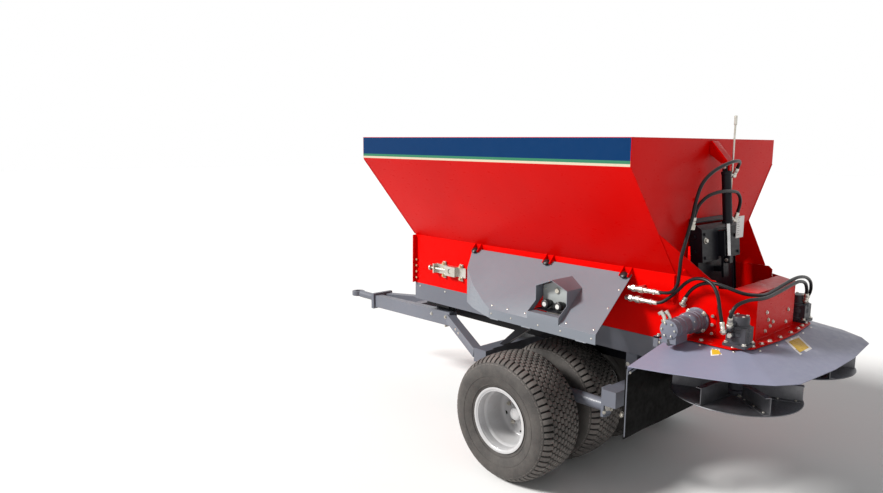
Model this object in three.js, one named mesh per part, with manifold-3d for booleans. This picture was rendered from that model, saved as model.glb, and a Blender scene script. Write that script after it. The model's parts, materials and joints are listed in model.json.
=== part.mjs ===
// Trailed twin-disc spreader: a 1.5 cubic metre hopper over a belt conveyor, a metering gate,
// two spinning discs under a fan-shaped deflector, and four turf tyres on two rocking axles.
//
// Millimetres. x = 0 is the centreline with +x to the machine's right, y = 0 is the outside of
// the hopper's rear wall with +y towards the tractor, and z = 0 is the ground. The last lines
// move the whole group along y, so that the exported origin is under the middle of its length.
import * as THREE from "three";
import { mergeVertices } from "three/addons/utils/BufferGeometryUtils.js";
import Module from "manifold-3d";

const wasm = await Module();
wasm.setup();

// ---------------------------------------------------------------- driving dimensions

const LEFT = -1;
const RIGHT = 1;
// gap is the play left between neighbours; over is how far a tool runs past the face it works on.
const gap = 0.3;
const over = 1;
const rearEnd = -656;
const frontEnd = 2944;

const hopper = {
  halfWidth: 710, length: 1850, rimZ: 1756, bandZ: 1632,
  floorHalf: 290, slopeZ: 1130, sheet: 4, wingReach: 173, wingZ: 1336,
};
const outlet = { half: 180, top: 1250, bottom: 1000 };
const conveyor = {
  sheet: 5, bottomZ: 810.3, rearY: -210, deckEndY: -45, deckClearZ: 873,
  rollerZ: 935, driveY: -120, idlerY: 1485, rollerRadius: 50, beltThickness: 6,
  beltHalf: 270, rollerHalf: 262, driveShaftRadius: 17.5, idlerShaftRadius: 15,
};
const rail = { outer: 290, inner: 230, bottom: 700, top: 810, wall: 6, rearY: -40 };
const beam = {
  size: 80, wall: 5, bottom: 470, rearY: 210, frontY: 1100, rearHalf: 470, frontHalf: 450,
  uprightX: 258, uprightWidth: 50, uprightDepth: 60, drainRadius: 5, drainInset: 30,
  braceFoot: [1062, 1094], braceTop: [850, 934],
};
const backbone = { half: 45, bottom: 572, top: 690, rearY: 60, frontY: 1790, wall: 6 };
const pivot = {
  x: 415, z: 450, radius: 32, journal: 20, bore: 20.8, shoulder: 2, journalInset: 5,
  lugThickness: 14, lugHalf: 35, lugBottom: 400,
};
const wheel = {
  axleY: 676, radius: 330, width: 305, outerX: 607.5, innerX: 222.5, tyreSides: 32,
  rimSides: 20, stubRadius: 22, stubEnd: 168.5, boreRadius: 23,
};
const deck = {
  bottom: 866, top: 872, half: 402, frontY: -45, throatHalf: 205, throatFront: -192,
  throatRear: -344, motorHole: 22,
};
const disc = { x: 330, y: -335, z: 655, thickness: 5, radius: 268, vanes: 6, vaneHeight: 75 };
const gate = { lean: THREE.MathUtils.degToRad(5.5), pivotY: -30, pivotZ: 1380, half: 185 };
const cylinder = {
  y: -66, bottom: -30, top: 218, radius: 22, rodRadius: 11, boreRadius: 12, boreTop: 182,
  gland: 3, glandTop: -16,
};
const cover = {
  rearY: 217, frontY: 1308, topX: 300, topZ: 1100, outerX: 590, edgeZ: 850, bottomZ: 800,
  sheet: 3, knobY: [1270, 730, 250], knobInset: 22,
};
const drawbar = {
  rearX: 215, rearY: 1560, rearZ: 600, headX: 50, headY: 2560, headZ: 520,
  width: 60, depth: 90,
};
const eye = { centreY: 2894, radius: 50, hole: 26, thickness: 34, z: 520, shankRadius: 27 };
const jack = {
  y: 2110, z: 515, radius: 28, bore: 23, boreEnd: 15, legRadius: 22, above: 70, below: 260,
};

const paint = {
  red: { color: 0xd8140c, roughness: 0.35, metalness: 0.1 },
  grey: { color: 0x8e8b96, roughness: 0.45, metalness: 0.1 },
  black: { color: 0x1a1b1f, roughness: 0.5, metalness: 0.1 },
  zinc: { color: 0xc2c4c6, roughness: 0.35, metalness: 0.9 },
  stainless: { color: 0xa9abae, roughness: 0.3, metalness: 0.9 },
  rim: { color: 0xc9cbce, roughness: 0.35, metalness: 0.6 },
  tyre: { color: 0x57504a, roughness: 0.9, metalness: 0 },
  rubber: { color: 0x151516, roughness: 0.8, metalness: 0 },
  plastic: { color: 0x101012, roughness: 0.5, metalness: 0 },
};

// ---------------------------------------------------------------- shape helpers

// A closed geometry as a solid that can be joined and cut.
function solidOf(geometry) {
  const loose = geometry.index ? geometry.toNonIndexed() : geometry;
  const bare = new THREE.BufferGeometry();
  bare.setAttribute("position", loose.getAttribute("position"));
  const merged = mergeVertices(bare, 1e-4);
  const index = merged.index.array;
  const triVerts = [];
  for (let i = 0; i < index.length; i += 3) {
    const [a, b, c] = [index[i], index[i + 1], index[i + 2]];
    if (a !== b && b !== c && c !== a) triVerts.push(a, b, c);
  }
  return new wasm.Manifold(new wasm.Mesh({
    numProp: 3,
    vertProperties: merged.attributes.position.array,
    triVerts: new Uint32Array(triVerts),
  }));
}

function join(...solids) {
  return solids.reduce((sum, next) => sum.add(next));
}

function cut(body, ...tools) {
  return tools.reduce((rest, tool) => rest.subtract(tool), body);
}

function box(x0, x1, y0, y1, z0, z1) {
  const [dx, dy, dz] = [Math.abs(x1 - x0), Math.abs(y1 - y0), Math.abs(z1 - z0)];
  const geometry = new THREE.BoxGeometry(dx, dy, dz);
  geometry.translate((x0 + x1) / 2, (y0 + y1) / 2, (z0 + z1) / 2);
  return solidOf(geometry);
}

// A round bar between two points.
function bar(radius, from, to, sides = 20) {
  const start = new THREE.Vector3(...from);
  const end = new THREE.Vector3(...to);
  const along = end.clone().sub(start);
  const geometry = new THREE.CylinderGeometry(radius, radius, along.length(), sides);
  const turn = new THREE.Quaternion().setFromUnitVectors(
    new THREE.Vector3(0, 1, 0),
    along.clone().normalize(),
  );
  geometry.applyQuaternion(turn);
  geometry.translate(...start.add(end).multiplyScalar(0.5));
  return solidOf(geometry);
}

// A square-section bar between two points, with its depth kept upright.
function beamBetween(from, to, width, depth) {
  const start = new THREE.Vector3(...from);
  const end = new THREE.Vector3(...to);
  const forward = end.clone().sub(start);
  const length = forward.length();
  forward.normalize();
  const side = new THREE.Vector3(0, 0, 1).cross(forward).normalize();
  const up = forward.clone().cross(side);
  const geometry = new THREE.BoxGeometry(width, length, depth);
  const basis = new THREE.Matrix4().makeBasis(side.negate(), forward, up);
  geometry.applyMatrix4(basis);
  geometry.translate(...start.add(end).multiplyScalar(0.5));
  return solidOf(geometry);
}

function shapeOf(points) {
  return new THREE.Shape(points.map(([u, v]) => new THREE.Vector2(u, v)));
}

function extrudedBetween(shape, depth, curveSegments = 12) {
  return new THREE.ExtrudeGeometry(shape, { depth, bevelEnabled: false, curveSegments });
}

// Prisms of an outline: in y and z along x, in x and z along y, and in x and y along z.
function alongX(geometry, x0) {
  const swap = new THREE.Matrix4().set(0, 0, 1, x0, 1, 0, 0, 0, 0, 1, 0, 0, 0, 0, 0, 1);
  return solidOf(geometry.applyMatrix4(swap));
}

function prismX(outline, x0, x1) {
  return alongX(extrudedBetween(shapeOf(outline), x1 - x0), x0);
}

function prismY(outline, y0, y1) {
  const geometry = extrudedBetween(shapeOf(outline), y1 - y0);
  const swap = new THREE.Matrix4().set(1, 0, 0, 0, 0, 0, -1, y1, 0, 1, 0, 0, 0, 0, 0, 1);
  return solidOf(geometry.applyMatrix4(swap));
}

function prismZ(outline, z0, z1) {
  const geometry = extrudedBetween(shapeOf(outline), z1 - z0);
  return solidOf(geometry.translate(0, 0, z0));
}

// A turned part: profile points are [radius, distance along the axis].
function turnedX(profile, sides, centre, outward, startAngle = 0) {
  const points = profile.map(([r, a]) => new THREE.Vector2(r, a));
  const geometry = new THREE.LatheGeometry(points, sides, startAngle);
  geometry.rotateZ(outward > 0 ? -Math.PI / 2 : Math.PI / 2);
  geometry.translate(...centre);
  return solidOf(geometry);
}

function turnedZ(profile, sides, centre) {
  const points = profile.map(([r, a]) => new THREE.Vector2(r, a));
  const geometry = new THREE.LatheGeometry(points, sides);
  geometry.rotateX(Math.PI / 2);
  geometry.translate(...centre);
  return solidOf(geometry);
}

// A hose through the given points, with a crimped ferrule at each end.
const hoseSize = { radius: 8, sides: 8, ferruleRadius: 11, ferruleLength: 34 };

function hose(points, steps) {
  const route = new THREE.CatmullRomCurve3(points.map((p) => new THREE.Vector3(...p)));
  const ring = Array.from({ length: hoseSize.sides }, (_, i) => {
    const angle = (2 * Math.PI * i) / hoseSize.sides;
    return [hoseSize.radius * Math.cos(angle), hoseSize.radius * Math.sin(angle)];
  });
  const geometry = new THREE.ExtrudeGeometry(shapeOf(ring), { extrudePath: route, steps });
  const ferrule = (at, direction) => {
    const start = route.getPointAt(at);
    const end = start.clone().addScaledVector(route.getTangentAt(at), direction);
    return bar(hoseSize.ferruleRadius, start.toArray(), end.toArray(), hoseSize.sides);
  };
  return join(
    solidOf(geometry),
    ferrule(0, hoseSize.ferruleLength),
    ferrule(1, -hoseSize.ferruleLength),
  );
}

const model = new THREE.Group();

// One named mesh of a finished solid, in its own material.
function place(name, solid, finish, parent = model) {
  const { vertProperties, triVerts } = solid.getMesh();
  const geometry = new THREE.BufferGeometry();
  geometry.setAttribute("position", new THREE.BufferAttribute(vertProperties, 3));
  geometry.setIndex(new THREE.BufferAttribute(triVerts, 1));
  geometry.computeVertexNormals();
  const mesh = new THREE.Mesh(geometry, new THREE.MeshStandardMaterial(finish));
  mesh.name = name;
  parent.add(mesh);
}

function sideName(side) {
  return side === LEFT ? "left" : "right";
}

// A hexagon bolt head on a face that looks along x.
const bolt = { radius: 10, height: 7 };

function boltHeadX(side, x, y, z) {
  return bar(bolt.radius, [side * (x - over), y, z], [side * (x + bolt.height), y, z], 6);
}

// ---------------------------------------------------------------- hopper

const slopeRun = (hopper.halfWidth - hopper.floorHalf) / (hopper.bandZ - hopper.slopeZ);
const slopeSheet = hopper.sheet * Math.hypot(1, slopeRun);
const innerHalf = hopper.halfWidth - hopper.sheet;
const innerFloor = hopper.floorHalf - slopeSheet;
const innerBandZ = hopper.slopeZ + (innerHalf - innerFloor) / slopeRun;

// A side: an upright band on top, a slope down to the belt, and a wing behind the rear wall.
function hopperSide(side) {
  const { halfWidth, rimZ, bandZ, floorHalf, slopeZ, length, wingReach, wingZ } = hopper;
  const section = [
    [halfWidth, rimZ], [halfWidth, bandZ], [floorHalf, slopeZ + gap],
    [innerFloor, slopeZ + gap], [innerHalf, innerBandZ], [innerHalf, rimZ],
  ].map(([x, z]) => [side * x, z]);
  const wall = prismY(section, -wingReach, length);
  const aboveWing = [
    [0, wingZ], [0, rimZ + over], [-wingReach - over, rimZ + over],
    [-wingReach - over, slopeZ + 2 * over], [-wingReach, slopeZ + 3 * over],
  ];
  return cut(wall, prismX(aboveWing, -halfWidth - over, halfWidth + over));
}

// The outline of a wall that stands between the two sides.
function endWallOutline(bottom) {
  const half = conveyor.sheet + gap;
  const points = [
    [innerHalf - gap, hopper.rimZ], [innerHalf - gap, innerBandZ],
    [innerFloor - gap, hopper.slopeZ], [hopper.floorHalf - half, hopper.slopeZ],
    [hopper.floorHalf - half, bottom],
  ];
  return [...points, ...points.map(([x, z]) => [-x, z]).reverse()];
}

// The front wall, with the apron that leads the load on to the belt.
const apron = { topZ: 1120, footY: 1556, footZ: 1006, sheet: 5, half: 284 };

function hopperFrontWall() {
  const inside = hopper.length - hopper.sheet;
  const wall = prismY(endWallOutline(conveyor.bottomZ), inside, hopper.length);
  const sheet = [
    [inside + over, apron.topZ], [apron.footY, apron.footZ],
    [apron.footY, apron.footZ - apron.sheet], [inside + over, apron.topZ - apron.sheet],
  ];
  return join(wall, prismX(sheet, -apron.half, apron.half));
}

// The rear wall, with the outlet above the belt and the bracket that carries the gate cylinder.
const bracket = {
  half: 30, topZ: 1745, footZ: 1641, reach: 92, shoulder: 12, wallZ: 1685, innerY: -60,
  tongue: 6, tongueZ: 1607,
};
const clevisPin = {
  z: 237, radius: 8, half: 22, play: 0.6, cheek: 16, cheekInner: 8, cheekTop: 252, cheekDepth: 12,
};

function leanPoint(y, z) {
  return [
    gate.pivotY + y * Math.cos(gate.lean) + z * Math.sin(gate.lean),
    gate.pivotZ + z * Math.cos(gate.lean) - y * Math.sin(gate.lean),
  ];
}

function hopperRearWall() {
  const { half, topZ, footZ, reach, shoulder, wallZ, innerY, tongue, tongueZ } = bracket;
  const wall = cut(
    prismY(endWallOutline(outlet.bottom), 0, hopper.sheet),
    box(
      -outlet.half, outlet.half, -over, hopper.sheet + over, outlet.bottom - over, outlet.top,
    ),
  );
  const strap = [
    [over, topZ], [-shoulder, topZ], [-reach, footZ + shoulder], [-reach, footZ], [innerY, footZ],
    [over, wallZ],
  ];
  const tongueOutline = [
    [-reach, footZ + over], [-reach, tongueZ], [innerY, tongueZ], [innerY, footZ + over],
  ];
  const [pinY, pinZ] = leanPoint(cylinder.y, clevisPin.z);
  return cut(
    join(wall, prismX(strap, -half, half), prismX(tongueOutline, -tongue, tongue)),
    bar(clevisPin.radius + clevisPin.play, [-half, pinY, pinZ], [half, pinY, pinZ]),
  );
}

// ---------------------------------------------------------------- conveyor

const sidePlate = {
  noseY: -192, noseZ: 1114, shaftPlay: 2, slotBehind: 50, slotAhead: 45, slotHalf: 18,
  frontBoltY: 1830, frontBolts: [845, 885, 925, 965], rearBoltY: -197, rearBolts: [890, 930, 970],
  middleBolt: [0, 1000],
};

// A side plate of the belt trough, with its bolts, the drive shaft's hole and the idler's slot.
function conveyorSide(side) {
  const { rearY, deckEndY, deckClearZ, bottomZ, driveY, idlerY, rollerZ } = conveyor;
  const { noseY, noseZ, slotHalf, frontBoltY, rearBoltY } = sidePlate;
  const outer = hopper.floorHalf;
  const inner = outer - conveyor.sheet;
  const outside = outer + 2 * bolt.height;
  const outline = [
    [hopper.length, bottomZ], [hopper.length, hopper.slopeZ], [noseY, hopper.slopeZ],
    [rearY, noseZ], [rearY, deckClearZ], [deckEndY, deckClearZ], [rail.rearY, bottomZ],
  ];
  const [x0, x1] = side === LEFT ? [-outer, -inner] : [inner, outer];
  const shaftHole = conveyor.driveShaftRadius + sidePlate.shaftPlay;
  const plate = cut(
    prismX(outline, x0, x1),
    bar(shaftHole, [side * outside, driveY, rollerZ], [0, driveY, rollerZ]),
    box(
      0, side * outside, idlerY - sidePlate.slotBehind, idlerY + sidePlate.slotAhead,
      rollerZ - slotHalf, rollerZ + slotHalf,
    ),
  );
  const heads = [
    ...sidePlate.frontBolts.map((z) => boltHeadX(side, outer, frontBoltY, z)),
    ...sidePlate.rearBolts.map((z) => boltHeadX(side, outer, rearBoltY, z)),
    boltHeadX(side, outer, ...sidePlate.middleBolt),
  ];
  return join(plate, ...heads);
}

const beltPlay = 0.1;

function beltLoop() {
  const { driveY, idlerY, rollerZ, rollerRadius, beltThickness, beltHalf } = conveyor;
  const loop = (radius, hole) => {
    const path = hole ? new THREE.Path() : new THREE.Shape();
    path.absarc(driveY, rollerZ, radius, Math.PI / 2, (3 * Math.PI) / 2, false);
    path.absarc(idlerY, rollerZ, radius, -Math.PI / 2, Math.PI / 2, false);
    path.closePath();
    return path;
  };
  const inner = rollerRadius + gap + beltPlay;
  const ring = loop(inner + beltThickness, false);
  ring.holes.push(loop(inner, true));
  return alongX(extrudedBetween(ring, 2 * beltHalf, 10), -beltHalf);
}

function roller(y, shaftRadius, shaftLeft, shaftRight) {
  const z = conveyor.rollerZ;
  return join(
    bar(conveyor.rollerRadius, [-conveyor.rollerHalf, y, z], [conveyor.rollerHalf, y, z], 32),
    bar(shaftRadius, [-shaftLeft, y, z], [shaftRight, y, z]),
  );
}

// A take-up bearing: base with four bolts, bearing block, tension screw and its washer.
const takeUp = {
  rearY: 1370, frontY: 1640, halfHeight: 30, baseX: 298, blockX: 326, blockHalf: 45,
  boltReach: 76, boltDrop: 38, tabHalf: 52, tabReach: 14, endPlate: 10,
  screwX: 312, screwRadius: 7, screwEnd: 1682, washerRadius: 18, washer: [1668, 1677], shaftPlay: 1,
};

function beltTensioner(side) {
  const { idlerY, rollerZ, idlerShaftRadius } = conveyor;
  const { rearY, frontY, halfHeight, baseX, blockX, blockHalf, boltReach, tabHalf, screwX } = takeUp;
  const face = hopper.floorHalf + gap;
  const slab = (x1, y0, y1, half) =>
    box(side * face, side * x1, y0, y1, rollerZ - half, rollerZ + half);
  const tab = (y) => slab(baseX, y - takeUp.tabReach, y + takeUp.tabReach, tabHalf);
  const bolts = [-boltReach, boltReach].flatMap((dy) =>
    [-takeUp.boltDrop, takeUp.boltDrop].map((dz) => boltHeadX(side, baseX, idlerY + dy, rollerZ + dz)),
  );
  const along = (x, y) => [side * x, y, rollerZ];
  const [washerStart, washerEnd] = takeUp.washer;
  const body = join(
    slab(baseX, rearY, frontY, halfHeight),
    tab(idlerY - boltReach),
    tab(idlerY + boltReach),
    slab(blockX, idlerY - blockHalf, idlerY + blockHalf, halfHeight),
    bar(takeUp.screwRadius, along(screwX, idlerY), along(screwX, takeUp.screwEnd), 10),
    slab(blockX, frontY - takeUp.endPlate, frontY, halfHeight),
    bar(takeUp.washerRadius, along(screwX, washerStart), along(screwX, washerEnd)),
    ...bolts,
  );
  const shaftHole = idlerShaftRadius + takeUp.shaftPlay;
  return cut(body, bar(shaftHole, along(0, idlerY), along(blockX + bolt.height, idlerY)));
}

// The planetary gearbox on the left side plate, around the end of the drive shaft.
const gearbox = {
  flangeRadius: 60, flangeX: 302, bodyRadius: 45, bodyX: 400, neckRadius: 36, neckX: 428,
  boreX: 340, shaftPlay: 1.5, boltCircle: 52, boltAngles: [45, 135, 225, 315],
};

function beltGearbox() {
  const { driveY: y, rollerZ: z } = conveyor;
  const face = hopper.floorHalf + gap;
  const bolts = gearbox.boltAngles.map((degrees) => {
    const angle = THREE.MathUtils.degToRad(degrees);
    const reach = gearbox.boltCircle;
    return boltHeadX(LEFT, gearbox.flangeX, y + reach * Math.cos(angle), z + reach * Math.sin(angle));
  });
  return cut(
    join(
      bar(gearbox.flangeRadius, [-face, y, z], [-gearbox.flangeX, y, z], 24),
      bar(gearbox.bodyRadius, [-face, y, z], [-gearbox.bodyX, y, z], 24),
      bar(gearbox.neckRadius, [-face, y, z], [-gearbox.neckX, y, z], 24),
      ...bolts,
    ),
    bar(conveyor.driveShaftRadius + gearbox.shaftPlay, [0, y, z], [-gearbox.boreX, y, z]),
  );
}

// The orbital motor on the gearbox's end: round body, port block below it with a plug, and two
// fittings that point up and forward. Fittings are [x, y, z] offsets from the shaft at the end.
const beltMotor = {
  radius: 42, endX: 545, blockHalf: 34, blockBottom: 64, blockInset: 8,
  plug: { radius: 20, from: [26, 0, -40], to: [26, -6, -72] },
  fittings: [
    { radius: 11, from: [16, 12, 20], to: [4, 34, 76] },
    { radius: 11, from: [40, 16, 20], to: [34, 44, 66] },
  ],
};

function beltDriveMotor() {
  const { driveY: y, rollerZ: z } = conveyor;
  const start = gearbox.neckX + gap;
  const { radius, endX, blockHalf, blockBottom, blockInset, plug, fittings } = beltMotor;
  const at = ([dx, dy, dz]) => [-endX + dx, y + dy, z + dz];
  const fitting = (part) => bar(part.radius, at(part.from), at(part.to), 10);
  return join(
    bar(radius, [-start, y, z], [-endX, y, z], 16),
    box(-endX, -start - blockInset, y - blockHalf, y + blockHalf, z - blockBottom, z),
    fitting(plug),
    ...fittings.map(fitting),
  );
}

const sliderBedSize = { half: 268, rearY: -50, frontY: 1410, sheet: 4 };

function sliderBed() {
  const { half, rearY, frontY, sheet } = sliderBedSize;
  const top = conveyor.rollerZ + conveyor.rollerRadius - gap;
  return box(-half, half, rearY, frontY, top - sheet, top);
}

// ---------------------------------------------------------------- discharge

const chute = {
  rearY: -353, rearHalf: 210, sideY: -213, sideHalf: 289, topZ: 1088, lidY: -250,
  sheet: 4, slope: 0.05, cornerShare: 0.6,
};

// The chute behind the throat: a back with two angled corners under a narrow lid, open in front
// of the lid so that the gate's arm can rise and fall.
function dischargeChute() {
  const base = deck.top + gap;
  const { rearY, rearHalf, sideY, sideHalf, topZ, lidY, sheet, slope } = chute;
  const plan = (shrink, frontY) => mirrored([
    [-sideHalf + shrink, frontY], [-sideHalf + shrink, sideY],
    [-rearHalf + shrink * chute.cornerShare, rearY + shrink],
  ]);
  const underSlope = (drop) => {
    const heightAt = (y) => topZ - drop + slope * (y - rearY);
    const outline = [
      [rearY - over, 0], [rearY - over, heightAt(rearY - over)], [0, heightAt(0)], [0, 0],
    ];
    return prismX(outline, -sideHalf - over, sideHalf + over);
  };
  const inside = prismZ(plan(sheet, sideY + 2 * over), base - over, hopper.rimZ);
  const aheadOfLid = box(-sideHalf, sideHalf, lidY, 0, base - over, hopper.rimZ);
  return cut(
    prismZ(plan(0, sideY + over), base, hopper.rimZ).intersect(underSlope(0)),
    inside.intersect(underSlope(sheet)),
    inside.intersect(aheadOfLid),
  );
}

const deckOutline = [
  [deck.half, deck.frontY], [deck.half, disc.y], [320, -397], [100, -418],
];

function mirrored(points) {
  return [...points, ...points.map(([x, y]) => [-x, y]).reverse()];
}

// The flat plate over the discs: it carries the chute and the two disc motors.
function spinnerDeck() {
  const throat = mirrored([[deck.throatHalf, deck.throatFront], [deck.throatHalf, deck.throatRear]]);
  const [low, high] = [deck.bottom - over, deck.top + over];
  const motorHoles = [LEFT, RIGHT].map((side) =>
    bar(deck.motorHole, [side * disc.x, disc.y, low], [side * disc.x, disc.y, high]),
  );
  return cut(
    prismZ(mirrored(deckOutline), deck.bottom, deck.top),
    prismZ(throat, low, high),
    ...motorHoles,
  );
}

// The fan-shaped deflector: its inner edge hangs under the deck, its outer edge is lower.
const deflector = {
  outerZ: 797, innerZ: 862, thickness: 3,
  outer: [
    [746, -56], [702, -207], [657, -318], [598, -460], [515, -570], [425, -628], [120, rearEnd],
  ],
  inner: [
    [380, -56], [380, -170], [380, -250], [378, -325], [340, -366], [250, -386], [95, -398],
  ],
};

function deflectorFan() {
  const { outer, inner, outerZ, innerZ, thickness } = deflector;
  const ring = mirrored(outer).concat(mirrored(inner).reverse());
  const geometry = extrudedBetween(shapeOf(ring), thickness);
  const position = geometry.getAttribute("position");
  const isInner = (x, y) => inner.some(([ix, iy]) => Math.abs(Math.abs(x) - ix) + Math.abs(y - iy) < 1);
  for (let i = 0; i < position.count; i++) {
    const lift = isInner(position.getX(i), position.getY(i)) ? innerZ : outerZ;
    position.setZ(i, position.getZ(i) + lift);
  }
  return solidOf(geometry);
}

// A disc motor: square foot, body and cap, with a bore for the disc's shaft.
const discMotor = {
  foot: 50, footTop: 886, body: 44, bodyTop: 962, cap: 36, capTop: 1004, bore: 17, boreTop: 900,
  portRadius: 12, portY: 16, ports: [{ z: 925, reach: 62 }, { z: 975, reach: 58 }],
};

function spinnerMotor(side) {
  const [x, y] = [side * disc.x, disc.y];
  const base = deck.top + gap;
  const { foot, footTop, body, bodyTop, cap, capTop, bore, boreTop, portRadius, portY } = discMotor;
  const ports = discMotor.ports.map(({ z, reach }) =>
    bar(portRadius, [x, y, z], [x + side * reach, y + portY, z], 10),
  );
  return cut(
    join(
      box(x - foot, x + foot, y - foot, y + foot, base, footTop),
      bar(body, [x, y, base], [x, y, bodyTop], 16),
      bar(cap, [x, y, base], [x, y, capTop], 16),
      ...ports,
    ),
    bar(bore, [x, y, base - over], [x, y, boreTop]),
  );
}

// A spreading disc with its channel-shaped vanes, hub and shaft.
const hub = { radius: 38, top: 722, shaftRadius: 15, shaftTop: 896 };
const vane = { start: 60, end: 264, lip: 26, web: 4, turn: 0.9 };

function spinnerDisc(side) {
  const { x, y, z, thickness, radius, vanes, vaneHeight } = disc;
  const centre = [side * x, y];
  const top = z + thickness;
  const blades = Array.from({ length: vanes }, (_, i) => {
    const reach = vane.end - vane.start;
    const web = new THREE.BoxGeometry(reach, vane.web, vaneHeight);
    web.translate(vane.start + reach / 2, 0, vaneHeight / 2 - over);
    const lip = new THREE.BoxGeometry(reach, vane.lip, vane.web);
    const lipZ = vaneHeight - vane.web / 2 - over;
    lip.translate(vane.start + reach / 2, (side * vane.lip) / 2, lipZ);
    return [web, lip].map((geometry) => {
      geometry.rotateZ((2 * Math.PI * (i + vane.turn)) / vanes);
      geometry.translate(...centre, top);
      return solidOf(geometry);
    });
  }).flat();
  return join(
    bar(radius, [...centre, z], [...centre, top], 48),
    bar(hub.radius, [...centre, z], [...centre, hub.top], 16),
    bar(hub.shaftRadius, [...centre, z], [...centre, hub.shaftTop], 16),
    ...blades,
  );
}

// The rubber flap that hangs between the wheels and the discs.
const flap = {
  half: 750, bottom: 470, sideTop: 793, deckTop: 856, deckHalf: 380, rearY: -53, thickness: 6,
};

function rubberFlap() {
  const { half, bottom, sideTop, deckTop, deckHalf, rearY, thickness } = flap;
  const outline = mirrored([[half, bottom], [half, sideTop], [deckHalf, deckTop]]);
  return prismY(outline, rearY, rearY + thickness);
}

// ---------------------------------------------------------------- metering gate

// The gate group leans 5.5 degrees forward at the top. Inside it, z runs up the gate.
const gateGroup = new THREE.Group();
gateGroup.position.set(0, gate.pivotY, gate.pivotZ);
gateGroup.rotation.x = -gate.lean;
model.add(gateGroup);

const housing = {
  half: 194, sheet: 3, front: -34, back: 26, bottom: -200, frontTop: -48, backTop: 3,
  guideBottom: -378, guideFront: -12, guideBack: 20, slotHalf: 34, slotTop: -62,
  plateSlotHalf: 8, plateSlotSide: 2,
};
const plate = { half: gate.half, thickness: 6, bottom: -376, top: -70 };
const arm = {
  half: 26, front: -52.7, back: -42, bottom: -288, top: -182, webBottom: -260, webTop: -235,
};
const indicator = {
  x: 116, y: -50, bottomZ: 1275, topZ: 1868, radius: 5, tipRadius: 8, tipLength: 46,
  clampHalf: 10, clampRear: 6, clampFront: 4, clampBelow: 14, clampAbove: 12, slotHalf: 12,
  slotFront: -29,
};

function gateHousing() {
  const { half, sheet, front, back, bottom, frontTop, backTop, plateSlotHalf } = housing;
  const above = backTop + sheet + over;
  const section = (inset, low) => [
    [back + inset, low], [front + inset, low], [front + inset, frontTop - inset],
    [back + inset, backTop - inset],
  ];
  const shell = cut(
    prismX(section(0, bottom), -half, half),
    prismX(section(sheet, bottom - over), -half + sheet, half - sheet),
  );
  const guide = [
    [back, bottom + over], [housing.guideFront, bottom + over],
    [housing.guideFront, housing.guideBottom], [housing.guideBack, housing.guideBottom],
  ];
  const guides = [LEFT, RIGHT].map((side) => {
    const [x0, x1] = side === LEFT ? [-half, -half + sheet] : [half - sheet, half];
    return prismX(guide, x0, x1);
  });
  const plateHalf = plate.half + housing.plateSlotSide;
  const armSlot = box(
    -housing.slotHalf, housing.slotHalf, front - over, front + sheet + over, bottom - over,
    housing.slotTop,
  );
  const plateSlot = box(-plateHalf, plateHalf, -plateSlotHalf, plateSlotHalf, frontTop, above);
  const indicatorSlot = box(
    indicator.x - indicator.slotHalf, indicator.x + indicator.slotHalf, indicator.slotFront,
    plateSlotHalf, frontTop, above,
  );
  return cut(join(shell, ...guides), armSlot, plateSlot, indicatorSlot);
}

function meteringGate() {
  return join(
    box(-plate.half, plate.half, -plate.thickness / 2, plate.thickness / 2, plate.bottom, plate.top),
    box(-arm.half, arm.half, arm.front, arm.back, arm.bottom, arm.top),
    box(-arm.half, arm.half, arm.back - over, 0, arm.webBottom, arm.webTop),
  );
}

// The gate cylinder: barrel with gland and two ports, and the fork that hangs it on its pin.
const port = { radius: 10, start: 18, reach: 52, topZ: 200, lowZ: -10 };

function gateCylinder() {
  const { y, bottom, top, radius, boreRadius, boreTop, gland, glandTop } = cylinder;
  const { cheek, cheekInner, cheekTop, cheekDepth } = clevisPin;
  const cheeks = [LEFT, RIGHT].map((side) =>
    box(side * cheekInner, side * cheek, y - cheekDepth, y + cheekDepth, top - over, cheekTop),
  );
  const ports = [port.topZ, port.lowZ].map((z) =>
    bar(port.radius, [port.start, y, z], [port.reach, y, z], 10),
  );
  return cut(
    join(
      bar(radius, [0, y, bottom], [0, y, top], 24),
      bar(radius + gland, [0, y, bottom], [0, y, glandTop], 24),
      bar(clevisPin.radius, [-clevisPin.half, y, clevisPin.z], [clevisPin.half, y, clevisPin.z], 12),
      ...cheeks,
      ...ports,
    ),
    bar(boreRadius, [0, y, bottom - over], [0, y, boreTop], 24),
  );
}

const rodEnd = { half: 15, depth: 13, bottom: -220, top: -184, pinZ: -204, pinRadius: 9, pistonTop: 20 };

function gateRod() {
  const { y, rodRadius } = cylinder;
  return join(
    bar(rodRadius, [0, y, rodEnd.top - over], [0, y, rodEnd.pistonTop], 16),
    box(-rodEnd.half, rodEnd.half, y - rodEnd.depth, y + rodEnd.depth, rodEnd.bottom, rodEnd.top),
    bar(rodEnd.pinRadius, [-arm.half, y, rodEnd.pinZ], [arm.half, y, rodEnd.pinZ], 10),
  );
}

// The indicator stands upright beside the cylinder and shows above the rim how far the gate is open.
function gateIndicator() {
  const { x, y, bottomZ, topZ, radius, tipRadius, clampHalf } = indicator;
  return join(
    bar(radius, [x, y, bottomZ], [x, y, topZ], 8),
    bar(tipRadius, [x, y, topZ - indicator.tipLength], [x, y, topZ], 8),
    box(
      x - clampHalf, x + clampHalf, y - indicator.clampRear, y + indicator.clampFront,
      bottomZ - indicator.clampBelow, bottomZ + indicator.clampAbove,
    ),
  );
}

// ---------------------------------------------------------------- running gear

function chassisRail(side) {
  const { outer, inner, bottom, top, wall, rearY } = rail;
  const section = [
    [outer, bottom], [inner, bottom], [inner, bottom + wall], [outer - wall, bottom + wall],
    [outer - wall, top - wall], [inner, top - wall], [inner, top], [outer, top],
  ].map(([x, z]) => [side * x, z]);
  return prismY(section, rearY, hopper.length);
}

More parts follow.
